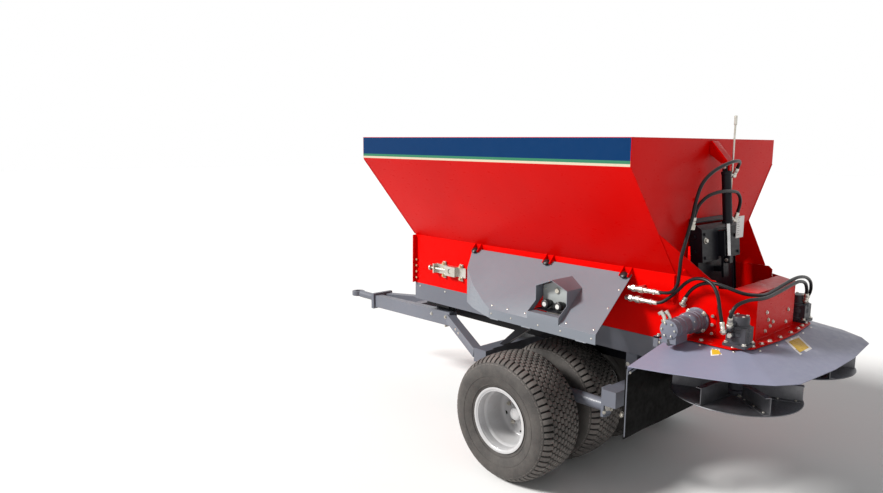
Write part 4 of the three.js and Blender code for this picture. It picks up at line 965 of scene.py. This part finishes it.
def make_flap():
    """A hung rubber sheet: it waves a little between its bolts, more towards its free edge."""
    columns, rows = 75, 22
    rings = []
    for i in range(columns + 1):
        x = -FLAP["half"] + 2 * FLAP["half"] * i / columns
        top = flap_top(x)
        front, back = [], []
        for k in range(rows + 1):
            t = k / rows
            z = top + (FLAP["bottom"] + 2.5 * math.sin(x / 170) + 3 - top) * t
            middle = FLAP["y"] + flap_wave(x, t)
            front.append(spot(x, middle + FLAP["thick"] / 2, z))
            back.append(spot(x, middle - FLAP["thick"] / 2, z))
        rings.append(front + back[::-1])
    sheet = Form("flap")
    sheet.add(loft(rings))
    flap = sheet.make("rubber_flap_sheet", "frame", ["rubber_flap"])
    strip = Form("steel")
    for side in SIDES:
        strip.add(block(side * 744, side * 749, -57, -53.2, 486, 788))
        outline = [(side * 386, 834), (side * 746, 772), (side * 746, 762), (side * 386, 824)]
        strip.add(prism(outline, along_y, -58.5, -56.6))
        for x in (730, 640, 550, 460, 400):
            z = flap_top(x) - 26
            rivet(strip, spot(side * x, -58.2, z), (0, -1, 0), 7, "zinc")
    strip.make("flap_clamp_strips", "frame", bevel=0.5)


# ------------------------------------------------------------------ metering gate

LEAN = math.radians(5.5)
GATE_PIVOT = (-30, 1380)
CYLINDER_Y = -66


def leaning(x, y, z):
    """A point of the gate group, which leans forward at the top, in metres."""
    return spot(
        x,
        GATE_PIVOT[0] + y * math.cos(LEAN) + z * math.sin(LEAN),
        GATE_PIVOT[1] + z * math.cos(LEAN) - y * math.sin(LEAN),
    )


def leaning_block(x0, x1, y0, y1, z0, z1):
    return block(x0, x1, y0, y1, z0, z1, leaning)


def cross_pin(x0, x1, y, z, radius, chamfer, sides):
    """A round part that lies across the machine in the leaning group."""
    return drum(leaning(x0, y, z), leaning(x1, y, z), radius, chamfer, sides)


def make_gate():
    """The metering gate in its housing, with the cylinder that lifts it and its indicator."""
    softened("gate_housing", "black", 1.5)
    softened("metering_gate", "black", 1.0)
    make_gate_cylinder()
    make_gate_rod()
    make_gate_indicator()
    make_gate_hardware()


def make_gate_cylinder():
    """The barrel with its end caps, its clevis and pin at the top, and its two hose ports."""
    y = CYLINDER_Y
    up = leaning(0, 0, 1) - leaning(0, 0, 0)
    barrel = Form("black")
    profile = [
        (14, 0), (25, 0), (25, 13), (23.5, 15), (22, 16), (22, 232), (24, 234), (24, 246),
        (20, 248), (14, 248),
    ]
    barrel.add(turned(leaning(0, y, -30), up, profile, 40))
    for side in SIDES:
        barrel.add(leaning_block(side * 8, side * 16, y - 12, y + 12, 216, 252))
    barrel.add(cross_pin(-22, 22, y, 237, 8, 1, 20), "zinc")
    port_nut = [(11, 0), (12.5, 1.5), (12.5, 12), (10, 14)]
    for z in (200, -10):
        barrel.add(cross_pin(18, 30, y, z, 13, 1.5, 20), "black")
        barrel.add(turned(leaning(28, y, z), (1, 0, 0), port_nut, 6), "zinc")
        barrel.add(cross_pin(41, 52, y, z, 9, 2, 16), "zinc")
    barrel.make("gate_cylinder_barrel", "frame", ["gate_cylinder"], bevel=1.0)


def make_gate_rod():
    """The chromed rod with the clevis block and pin that hold the gate's arm."""
    y = CYLINDER_Y
    rod = Form("chrome")
    rod.add(drum(leaning(0, y, -188), leaning(0, y, 20), 10.8, 1, 32))
    rod.add(leaning_block(-15, 15, y - 13, y + 13, -220, -184), "black")
    rod.add(cross_pin(-26, 26, y, -204, 9, 1, 20), "zinc")
    for side in SIDES:
        rod.add(cross_pin(side * 19, side * 24, y, -204, 13, 1, 24), "black")
    rod.make("gate_rod_chrome", "gate", ["gate_cylinder_rod"], bevel=1.2)


def make_gate_indicator():
    """The thin rod that rises with the gate, and the fixed scale plate without figures."""
    pointer = Form("zinc")
    x, y, base, top = 116, -50, 1268, 1868
    pointer.add(drum(spot(x, y, base), spot(x, y, top - 2), 4.5, 1, 16))
    pointer.add(drum(spot(x, y, top - 46), spot(x, y, top), 7.5, 2, 16), "zinc")
    pointer.add(block(x - 10, x + 10, y - 6, y + 4, 1262, 1287), "zinc")
    pointer.make("gate_indicator_rod", "gate", ["gate_indicator"], bevel=0.8)
    scale = Form("white")
    scale.add(block(86, 164, -105, -101.5, 1278, 1384))
    scale.add(block(92, 158, -101.6, -88, 1284, 1300), "black")
    for k in range(9):
        width = 26 if k % 2 == 0 else 16
        z = 1292 + k * 10.5
        scale.add(block(92, 92 + width, -105.5, -105, z, z + 1.6), "black")
    scale.make("gate_scale_plate", "frame", bevel=0.4)


def make_gate_hardware():
    """The housing's bolts, the two guides beside the rod, and the gussets above the cylinder."""
    rearwards = leaning(0, -1, 0) - leaning(0, 0, 0)
    hardware = Form("black")
    hexagon_bolt(hardware, leaning(-160, -34, -100), rearwards, 11, 9, "zinc")
    for side in SIDES:
        for z in (-70, -180):
            hexagon_bolt(hardware, leaning(side * 170, -34, z), rearwards, 7, 5)
        for z in (-80, -150):
            hexagon_bolt(hardware, leaning(side * 194, 4, z), (side, 0, 0), 7, 5)
        hardware.add(leaning_block(side * 30, side * 35, -66, -33, -185, -64), "black")
    hardware.make("gate_housing_hardware", "frame", bevel=0.6)
    gussets = Form("red")
    outline = [(-4, 1738), (-4, 1690), (-64, 1650), (-90, 1650)]
    for side in SIDES:
        gussets.add(prism(outline, along_x, side * 30, side * 34))
    gussets.make("cylinder_bracket_gussets", "frame", bevel=0.8)


# ------------------------------------------------------------------ running gear

WHEEL = {"y": 676, "z": 330, "outer": 607.5, "inner": 222.5, "pitches": 60}
TREAD = {"radius": 329.8, "fall": 5.5, "half": 90, "power": 2.2}
TREAD_ROWS = (-75, -50, -25, 0, 25, 50, 75)
DIAMOND = [
    (-1, -0.52), (-0.2, -1), (0.2, -1), (1, -0.52), (1, 0.52), (0.2, 1), (-0.2, 1), (-1, 0.52),
]
DIAMOND_HALF = 10.8
DIAMOND_SHARE = 0.43
DIAMOND_LEVELS = [(13, 1.10), (2.2, 1.0), (0, 0.86)]
SHOULDER_HALF = 12.4
# Each row: distance across, radius, share of the lug's width, depth, and how far its foot is inside.
SHOULDER = [
    (90, 324.5, 0.8, 10, 0), (104, 321, 1.0, 10, 0), (118, 314, 1.0, 10, 3), (131, 303.5, 1.0, 10, 3),
    (141, 290, 1.0, 6, 3), (147.5, 274, 0.9, 6, 3), (150, 262, 0.9, 6, 3),
]
WALL_RIBS = [(232, 150.4), (188, 137.0)]
WALL_RIB_SECTION = [(-3, -2), (-1.2, 1.2), (1.2, 1.2), (3, -2)]
TYRE_SIDES = 96


def tread_top(a):
    """The radius of the blocks' tops across the tread."""
    return TREAD["radius"] - TREAD["fall"] * (abs(a) / TREAD["half"]) ** TREAD["power"]


def tyre_point(centre, out, radius, a, angle):
    """A point of a wheel: a is its distance outwards from the wheel's middle plane."""
    return centre + Vector((out * a, radius * math.cos(angle), radius * math.sin(angle))) * MM


def tread_block(centre, out, row_a, angle):
    """One diamond block of the tread; its top is smaller than its foot."""
    reach = DIAMOND_SHARE * 2 * math.pi / WHEEL["pitches"]
    rings = []
    for drop, share in DIAMOND_LEVELS:
        ring = []
        for across, along in DIAMOND:
            a = row_a + across * share * DIAMOND_HALF
            turn = angle + along * share * reach
            ring.append(tyre_point(centre, out, tread_top(a) - drop, a, turn))
        rings.append(ring)
    return loft(rings)


def shoulder_lug(centre, out, way, angle):
    """A long lug that runs from the tread down over the shoulder."""
    rings = []
    for a, radius, share, depth, inside in SHOULDER:
        foot_a, foot = a - inside, radius - depth
        low, high = 1.08 * share * SHOULDER_HALF, 0.86 * share * SHOULDER_HALF
        ring = [(foot_a, foot, -low), (a, radius, -high), (a, radius, high), (foot_a, foot, low)]
        rings.append([
            tyre_point(centre, out, r, way * aa, angle + s / radius) for aa, r, s in ring
        ])
    return loft(rings)


CARCASS = [
    (152, 126.5), (172, 127), (190, 137), (212, 146.5), (240, 151.5), (262, 151), (282, 146),
    (298, 135.5), (307, 121), (312.5, 104), (316, 80), (318, 50), (318.6, 20),
]
CARCASS_TREAD_FROM = 7


def wheel_place(side, row):
    """A wheel's centre, and the way its outer face looks."""
    return spot(side * WHEEL[row], WHEEL["y"], WHEEL["z"]), side if row == "outer" else -side


def tyre_ring(centre, out, radius, a):
    """A full circle of points round the wheel at one radius and one distance across."""
    step = 2 * math.pi / TYRE_SIDES
    return [tyre_point(centre, out, radius, a, step * k) for k in range(TYRE_SIDES)]


def make_tyre(side, row):
    """A turf tyre: carcass, staggered diamond blocks, shoulder lugs and ribs on its walls."""
    centre, out = wheel_place(side, row)
    tyre = Form("groove_shade", "wall", "block")
    profile = CARCASS + [(r, -a) for r, a in reversed(CARCASS)]
    rings = [tyre_ring(centre, out, r, a) for r, a in profile]
    tread_from = CARCASS_TREAD_FROM
    tread_to = len(profile) - 1 - tread_from
    # The carcass between the blocks is near black: painted shade in the grooves.
    parts = [
        (rings[: tread_from + 1], "wall"), (rings[tread_from : tread_to + 1], "groove_shade"),
        (rings[tread_to:], "wall"), ([rings[-1], rings[0]], "wall"),
    ]
    for part, look in parts:
        verts, faces = loft(part)
        tyre.add((verts, faces[:-2]), look)
    pitch = 2 * math.pi / WHEEL["pitches"]
    for k in range(WHEEL["pitches"]):
        for n, a in enumerate(TREAD_ROWS):
            angle = pitch * (k + (0.5 if n % 2 else 0.0))
            tyre.add(tread_block(centre, out, a, angle), "block")
        for way in SIDES:
            tyre.add(shoulder_lug(centre, out, way, pitch * (k + 0.5)), "block")
    for radius, a in WALL_RIBS:
        for way in SIDES:
            rib = [tyre_ring(centre, out, radius + dr, way * (a + da)) for dr, da in WALL_RIB_SECTION]
            tyre.add(loft(rib, closed=True), "wall")
    name = f"{SIDE_NAMES[side]}_{row}"
    tyre.make(f"{name}_turf_tyre", f"{name}_wheel", [f"{name}_tyre"], sharp=40)


RIM = [
    (150, 127.8), (160, 128), (167, 129), (170.6, 131), (170.4, 133), (166, 133.6), (159, 132.2),
    (152.5, 127), (148.5, 119), (147, 108), (147, 84), (140, 76), (138, 66), (138, -24), (135, -38),
    (126, -46), (104, -49), (78, -46), (60, -46.5), (50, -47), (50, -55), (126, -55), (141, -52),
    (145, -66), (145, -127), (152, -131), (160, -133), (169, -132), (170, -129.5), (166, -128),
    (150, -128),
]
RIM_HUB = [
    (24, -95), (49, -95), (50, -93), (50, -22), (47, -17), (40, -13), (34, -12), (34, 2), (31, 8),
    (22, 12), (8, 13.5),
]
NUTS = {"count": 5, "radius": 84, "face": -47, "turn": 0.3}
DISH_HOLE_SHADES = {"radius": 116, "face": -48.6}


def make_rim(side, row):
    """The dished rim with its hub, its wheel nuts, near-black discs between them that paint the shade of
    holes, and the air valve.
    """
    centre, out = wheel_place(side, row)
    axis = Vector((out, 0, 0))
    rim = Form("rim")
    rim.add(turned(centre, axis, RIM, 72, closed=True))
    rim.add(turned(centre, axis, RIM_HUB, 40), "rim")
    rim.add(turned(centre, axis, [(64, -47), (64, -42), (61, -40), (50, -40)], 48), "rim")
    step = 2 * math.pi / NUTS["count"]
    for k in range(NUTS["count"]):
        angle = step * k + NUTS["turn"]
        place = tyre_point(centre, out, NUTS["radius"], NUTS["face"], angle)
        rim.add(turned(place, axis, [(16, 0), (16, 2), (13, 4)], 20), "rim")
        rim.add(turned(place, axis, [(13, 3), (13, 13), (10.5, 17)], 6), "zinc")
        rim.add(turned(place, axis, [(6.5, 16), (6.5, 24), (5, 26)], 12), "zinc")
        between = tyre_point(centre, out, DISH_HOLE_SHADES["radius"], DISH_HOLE_SHADES["face"], angle + step / 2)
        # A dark disc on the dish face: painted shade for a hole, which is not cut.
        rim.add(turned(between, axis, [(11.5, -1), (12, 0.6), (10, 1.2)], 24), "groove_shade")
    valve = tyre_point(centre, out, 132, 40, 2.6)
    stem = [(7, -8), (7, 4), (4.5, 6), (4.5, 30), (4, 31)]
    rim.add(turned(valve, Vector((out, 0.25, -0.1)), stem, 14), "plastic")
    name = f"{SIDE_NAMES[side]}_{row}"
    rim.make(f"{name}_rim_dish", f"{name}_wheel", [f"{name}_rim"], bevel=0.4, segments=1, sharp=38)


PIVOT = {"x": 415, "z": 450, "rear_y": 250, "front_y": 1060}
FRONT_BEAM_TOP = 551


def make_running_gear():
    """Four wheels on two rocking axles, under the chassis rails, beams and backbone."""
    for side in SIDES:
        name = SIDE_NAMES[side]
        for row in ROWS:
            make_tyre(side, row)
            make_rim(side, row)
        softened(f"{name}_rocker_axle", "steel", 2.5)
        softened(f"{name}_chassis_rail", "steel", 2.2)
    softened("rear_axle_beam", "steel", 3.0)
    # The front beam's plate above its top and the backbone are painted black while the rest of the
    # chassis is grey: painted shade under the hopper.
    top = FRONT_BEAM_TOP * MM
    softened("front_axle_beam", "steel", 3.0, other="black", belongs=lambda at: at.z > top)
    softened("chassis_backbone", "black", 2.0)
    pins = Form("zinc")
    for side in SIDES:
        x = side * PIVOT["x"]
        for y, face_y, way in ((PIVOT["rear_y"], 168.5, -1), (PIVOT["front_y"], 1141.5, 1)):
            cap = spot(x, y + way * 3, PIVOT["z"])
            pins.add(drum(cap, cap + Vector((0, way * 0.004, 0)), 26, 1, 24))
            pins.add(block(x - 23, x + 23, y + way * 3, y - way * 12, 396, 402), "steel")
            hexagon_bolt(pins, spot(x, face_y, 430), (0, way, 0), 12, 8)
            for dx in (-30, 30):
                hexagon_bolt(pins, spot(x + dx, y + way, 425), (0, way, 0), 9, 7)
    pins.make("rocker_pivot_hardware", "frame")
    bolts = Form("zinc")
    for side in SIDES:
        for y in (192, 228):
            hexagon_bolt(bolts, spot(side * 284, y, 640), (side, 0, 0), 8, 6)
        for y in (60, 420, 800, 1180, 1560, 1800):
            rivet(bolts, spot(side * 290, y, 790), (side, 0, 0), 7)
    bolts.make("chassis_bolts", "frame")


# ------------------------------------------------------------------ drawbar and jack


STRUT_FRONT = (222, 1580, 603)
STRUT_REAR = (398, 1160, 505)
NOSE_Y = 2600


def make_drawbar():
    """The drawbar with its hitch eye, jack and struts, and the bolts and rivets on them."""
    for side in SIDES:
        softened(f"{SIDE_NAMES[side]}_drawbar_rail", "steel", 7.0, 3)
    softened("jack_cross_member", "steel", 2.0)
    softened("hitch_eye", "steel", 2.5, 3)
    softened("jack_tube", "black", 1.2)
    softened("jack_leg", "zinc", 1.2)
    hardware = Form("zinc")
    for x in (-74, -38, 38, 74):
        for z in (478, 562):
            hexagon_bolt(hardware, spot(x, NOSE_Y, z), (0, 1, 0), 11, 8)
    for side in SIDES:
        for x, y, z in ((236.75, 1610, 606), (209.36, 1776, 594)):
            hexagon_bolt(hardware, spot(side * x, y, z), (side, 0.16, 0), 9, 7)
        for x, z in ((372, 480), (424, 480), (424, 530)):
            hexagon_bolt(hardware, spot(side * x, 1148.3, z), (0, 1, 0), 8, 6)
        front, rear = (spot(side * x, y, z) for x, y, z in (STRUT_FRONT, STRUT_REAR))
        for share in (0.36, 0.47):
            along = front.lerp(rear, share)
            rivet(hardware, along + Vector((side * 0.0262, 0.0108, 0.004)), (side * 0.92, 0.39, 0), 9)
    hardware.make("drawbar_bolts", "frame")


# ------------------------------------------------------------------ side cover and valve

COVER = {"top_x": 300, "top_z": 1100, "outer_x": 590, "edge_z": 850, "knob_inset": 22}
COVER_SLOPE = math.atan2(COVER["top_z"] - COVER["edge_z"], COVER["outer_x"] - COVER["top_x"])
COVER_NORMAL = Vector((-math.sin(COVER_SLOPE), 0, math.cos(COVER_SLOPE)))
COVER_RIVETS = [
    (572, 240), (572, 400), (572, 660), (572, 780), (572, 890), (470, 236), (380, 236), (482, 645),
    (400, 645),
]


def cover_spot(x, y):
    """A point on the outside of the cover's sloping panel; x is its distance from the centre."""
    return spot(-x, y, COVER["top_z"] - (x - COVER["top_x"]) * math.tan(COVER_SLOPE))


def make_side_cover():
    """The cover on the left side, with its rivets, hinge barrels and three knobs."""
    softened("side_cover", "grey", 1.6)
    rivets = Form("zinc")
    for x, y in COVER_RIVETS:
        rivet(rivets, cover_spot(x, y), COVER_NORMAL, 5)
    for y in (240, 420, 560, 740, 880):
        rivet(rivets, spot(-COVER["outer_x"], y, 826), (-1, 0, 0), 5)
    rivets.make("side_cover_rivets", "side_cover")
    hinge = Form("grey")
    for y in (300, 640, 860):
        hinge.add(drum(spot(-587, y - 30, 799), spot(-587, y + 30, 799), 4, 0.8, 12))
    hinge.make("side_cover_hinge_barrels", "side_cover")
    for where, y in KNOB_Y.items():
        make_cover_knob(where, y)


def make_cover_knob(where, y):
    """A lobed plastic knob on its screw, square to the cover's sloping panel."""
    normal = COVER_NORMAL
    seat = cover_spot(COVER["top_x"] + COVER["knob_inset"] * math.cos(COVER_SLOPE), y)
    knob = Form("plastic")
    knob.add(turned(seat, normal, [
        (9, 1.2), (13, 2), (13, 6), (17, 9), (18, 12), (17.5, 17), (14, 19.6), (7, 20.4),
    ], 24))
    first, second = crosswise(normal)
    for across, along in around(6, 15.5):
        rim = seat + (across * first + along * second) * MM
        knob.add(drum(rim + normal * 0.008, rim + normal * 0.018, 4.2, 1.2, 12))
    knob.add(drum(seat - normal * 0.014, seat + normal * 0.002, 5, 0.5, 14), "zinc")
    name = f"cover_knob_{where}"
    knob.make(f"{name}_grip", name, [name], bevel=0.5, segments=1)


HOOD = {"y": 533, "half": 99, "apex_z": 1052, "eave_z": 1011, "floor_z": 884}
PANEL = {"x": 474, "sheet": 4, "inset": 8, "tray_x": 538}
FLOW_KNOBS = {"front": 574, "rear": 492}
FLOW_KNOB_Z = 922


def make_valve():
    """The flow valve inside the hood: its block, the plain panel with its tray, and two knobs."""
    y, face_x = HOOD["y"], PANEL["x"]
    valve = Form("zinc")
    valve.add(block(-456, -385, 454, 612, 856, 938))
    valve.add(block(-face_x + PANEL["sheet"], -455, y - 55, y + 55, 897, 926))
    valve.add(block(-386, -290.4, y - 40, y + 40, 856, 866), "steel")
    fitting = [(13, -2), (14, 0), (14, 8), (11, 10)]
    for dy in (-54, 0, 54):
        valve.add(turned(spot(-420, y + dy, 856), (0, 0, -1), fitting, 6))
    half, floor = HOOD["half"] - PANEL["inset"], HOOD["floor_z"] + PANEL["inset"]
    eave, apex = HOOD["eave_z"] - PANEL["inset"] / 2, HOOD["apex_z"] - PANEL["inset"]
    face = [(y - half, floor), (y - half, eave), (y, apex), (y + half, eave), (y + half, floor)]
    valve.add(prism(face, along_x, -face_x, -face_x + PANEL["sheet"]), "panel")
    valve.add(block(-PANEL["tray_x"], -face_x, y - half, y + half, floor, floor + 3), "black")
    for dy in (-76, 76):
        for z in (905, 990):
            rivet(valve, spot(-face_x, y + dy, z), (-1, 0, 0), 4.5)
    valve.add(drum(spot(-face_x, y, 990), spot(-face_x - 8, y, 990), 14, 2, 24))
    valve.make("valve_block_body", "frame", ["valve_block"], bevel=1.2)
    for where, knob_y in FLOW_KNOBS.items():
        make_flow_knob(where, knob_y)


def make_flow_knob(where, y):
    """A black knob with a finger-grip skirt and a white pointer cap."""
    z = FLOW_KNOB_Z
    out = (-1, 0, 0)
    knob = Form("plastic")
    knob.add(turned(spot(-476, y, z), out, [
        (14, 0), (17, 1), (17, 20), (23.5, 23), (24, 25), (24, 44), (22, 48), (18, 50), (12, 51),
    ], 30))
    for dy, dz in around(10, 21.6):
        knob.add(drum(spot(-500, y + dy, z + dz), spot(-520, y + dy, z + dz), 2.4, 0.8, 10))
    knob.add(drum(spot(-518, y, z), spot(-528, y, z), 13, 1.5, 20), "pointer")
    knob.add(drum(spot(-454, y, z), spot(-478, y, z), 6, 0.5, 12), "zinc")
    name = f"flow_knob_{where}"
    knob.make(f"{name}_grip", name, [name], bevel=0.4, segments=1)


# ------------------------------------------------------------------ hoses

HOSES = {
    "hose_left_disc": [
        (-342, 205, 992), (-342, 120, 992), (-341, 40, 997), (-336, 0, 1024), (-337, -44, 1068),
        (-350, -86, 1110), (-366, -136, 1139), (-377, -190, 1144), (-388, -232, 1126), (-399, -260, 1088),
        (-408, -278, 1030), (-414, -300, 950),
    ],
    "hose_gate_lift": [
        (-342, 190, 1043), (-342, 110, 1043), (-346, 30, 1046), (-358, -20, 1058), (-372, -56, 1096),
        (-386, -72, 1160), (-398, -82, 1225), (-396, -94, 1290), (-372, -96, 1350), (-342, -96, 1415),
        (-322, -96, 1475), (-284, -100, 1550), (-220, -112, 1602), (-140, -126, 1634), (-50, -134, 1652),
        (30, -122, 1648), (72, -96, 1622), (78, -78, 1588),
    ],
    "hose_gate_lower": [
        (-252, -52, 1368), (-256, -62, 1410), (-256, -78, 1455), (-222, -100, 1495), (-150, -120, 1514),
        (-60, -128, 1514), (20, -128, 1502), (76, -118, 1460), (90, -104, 1410), (82, -96, 1372),
    ],
    "hose_right_disc": [
        (-312, -60, 1010), (-316, -78, 1048), (-330, -118, 1092), (-342, -168, 1120), (-346, -222, 1128),
        (-342, -280, 1116), (-316, -332, 1098), (-240, -360, 1084), (-165, -368, 1077), (-50, -368, 1088),
        (119, -368, 1107), (210, -368, 1109), (320, -364, 1090), (400, -356, 1050), (434, -344, 1000),
        (430, -326, 955),
    ],
    "hose_disc_link": [
        (-404, -322, 978), (-416, -330, 1018), (-402, -342, 1056), (-346, -364, 1076), (-230, -387, 1074),
        (-90, -389, 1080), (60, -389, 1094), (160, -388, 1097), (236, -386, 1078), (280, -380, 1040),
        (298, -374, 990),
    ],
}
HOSE_RADIUS = 8
COUPLED = ("hose_left_disc", "hose_gate_lift")
CRIMP = [
    (9, -16), (11.5, -14), (11.5, -4), (9, -2), (9, 0), (10.8, 1), (10.8, 12), (10.2, 13),
    (10.8, 14), (10.8, 30), (9.4, 33),
]
HOSE_NUT = [(13, 0), (14, 1), (14, 9), (13, 10)]
ELBOWS = [
    ((-414, -300, 936), (1, 0.1, 0)), ((430, -326, 941), (-1, 0.1, 0)),
    ((298, -374, 976), (0.6, 0.7, 0)), ((-404, -322, 964), (1, 0, 0)),
]


def make_hoses():
    """Each hose along its route, with a crimped end, or a coupler in line where it has one."""
    for node, route in HOSES.items():
        path = catmull_rom([spot(*p) for p in route], 8)
        rubber = Form("hose")
        rubber.add(swept(path, HOSE_RADIUS, 16))
        rubber.make(f"{node}_sheath", "frame", [node])
        fittings = Form("zinc")
        ends = [(path[-1], path[-2])]
        if node in COUPLED:
            add_coupler(fittings, route[0])
        else:
            ends.append((path[0], path[1]))
        for end, following in ends:
            inward = (following - end).normalized()
            fittings.add(turned(end, inward, CRIMP, 20))
            fittings.add(turned(end - inward * 0.014, inward, HOSE_NUT, 6))
        fittings.make(f"{node}_fittings", "frame", bevel=0.4, segments=1)
    make_hose_elbows()


def make_hose_elbows():
    """Elbows and unions between the hoses' ends and the motors, the side plate and the cylinder."""
    elbows = Form("zinc")
    for place, way in ELBOWS:
        start, way = spot(*place), Vector(way)
        bend = [start + Vector((0, 0, 0.012)), start, start + way * 0.020, start + way * 0.036]
        elbows.add(swept(catmull_rom(bend, 6), 9, 14))
    elbows.add(drum(spot(-290, -58, 996), spot(-312, -59, 998), 12, 2, 6))
    elbows.add(drum(spot(-252, -50, 1340), spot(-252, -52, 1362), 12, 2, 6))
    elbows.add(drum(spot(52, -80, 1581), spot(82, -80, 1581), 10, 3, 14))
    elbows.add(drum(spot(50, -98, 1369), spot(84, -97, 1364), 10, 3, 14))
    elbows.make("hose_elbows", "frame")


def add_coupler(form, start):
    """A quick coupler in line with the hose: body, knurled sleeve and nipple."""
    x, y, z = start
    profile = [
        (9, -18), (12, -16), (12, 0), (15.5, 2), (15.5, 22), (12.5, 25), (12.5, 36), (16.5, 38),
        (17.5, 42), (17.5, 60), (16.5, 64), (13, 66), (13, 84), (11, 86), (11, 112), (13.5, 114),
        (13.5, 126), (10.8, 128), (10.8, 150), (9, 153),
    ]
    hexagon = [(16, 0), (17.5, 1.5), (17.5, 14), (16, 16)]
    form.add(turned(spot(x, y, z), (0, -1, 0), profile, 24))
    form.add(turned(spot(x, y - 4, z), (0, -1, 0), hexagon, 6))
    form.add(block(-334, -290.2, y - 42, y - 36, z - 14, z + 14))


# ------------------------------------------------------------------ stage and light


FLOOR_HALF = 40
FLOOR_DROP = 0.001


def make_stage():
    """A plain pale floor, a hair under the tyres."""
    half, z = FLOOR_HALF, -FLOOR_DROP
    mesh = bpy.data.meshes.new("Floor")
    corners = [(-half, -half, z), (half, -half, z), (half, half, z), (-half, half, z)]
    mesh.from_pydata(corners, [], [(0, 1, 2, 3)])
    shader = Shader("FloorPaper", specular=0.2)
    drift = shader.remap(shader.noise(0.6, 2.0), 0.3, 0.7)
    shader.colour(shader.blend(drift, (0.86, 0.86, 0.86), (0.90, 0.90, 0.90)))
    shader.roughness(0.75)
    mesh.materials.append(shader.material)
    placed("Floor", mesh)


SUN_FROM = (-0.66, 0.50, 0.56)
SUN_STRENGTH = 4.9
AMBIENT = 0.36


def make_lights():
    """One broad soft key from the front left, and an even white studio all round."""
    data = bpy.data.lights.new("Key", "SUN")
    data.energy = SUN_STRENGTH
    data.angle = math.radians(14)
    data.color = (1.0, 0.985, 0.955)
    lamp = placed("Key", data)
    lamp.rotation_euler = Vector(SUN_FROM).to_track_quat("Z", "Y").to_euler()
    world = bpy.data.worlds.new("Studio")
    world.use_nodes = True
    tree = world.node_tree
    background = tree.nodes["Background"]
    background.inputs["Color"].default_value = (1.0, 1.0, 1.0, 1.0)
    rays = tree.nodes.new("ShaderNodeLightPath")
    level = tree.nodes.new("ShaderNodeMapRange")
    level.inputs["To Min"].default_value = 1.0
    level.inputs["To Max"].default_value = AMBIENT
    tree.links.new(rays.outputs["Is Diffuse Ray"], level.inputs["Value"])
    tree.links.new(level.outputs["Result"], background.inputs["Strength"])
    bpy.context.scene.world = world
    bpy.context.scene.view_settings.view_transform = "Standard"


# ------------------------------------------------------------------ everything together

make_hopper()
make_hopper_details()
make_conveyor()
make_gearbox()
make_belt_motor()
make_discharge()
make_gate()
make_running_gear()
make_drawbar()
make_side_cover()
make_valve()
make_hoses()
make_stage()
make_lights()
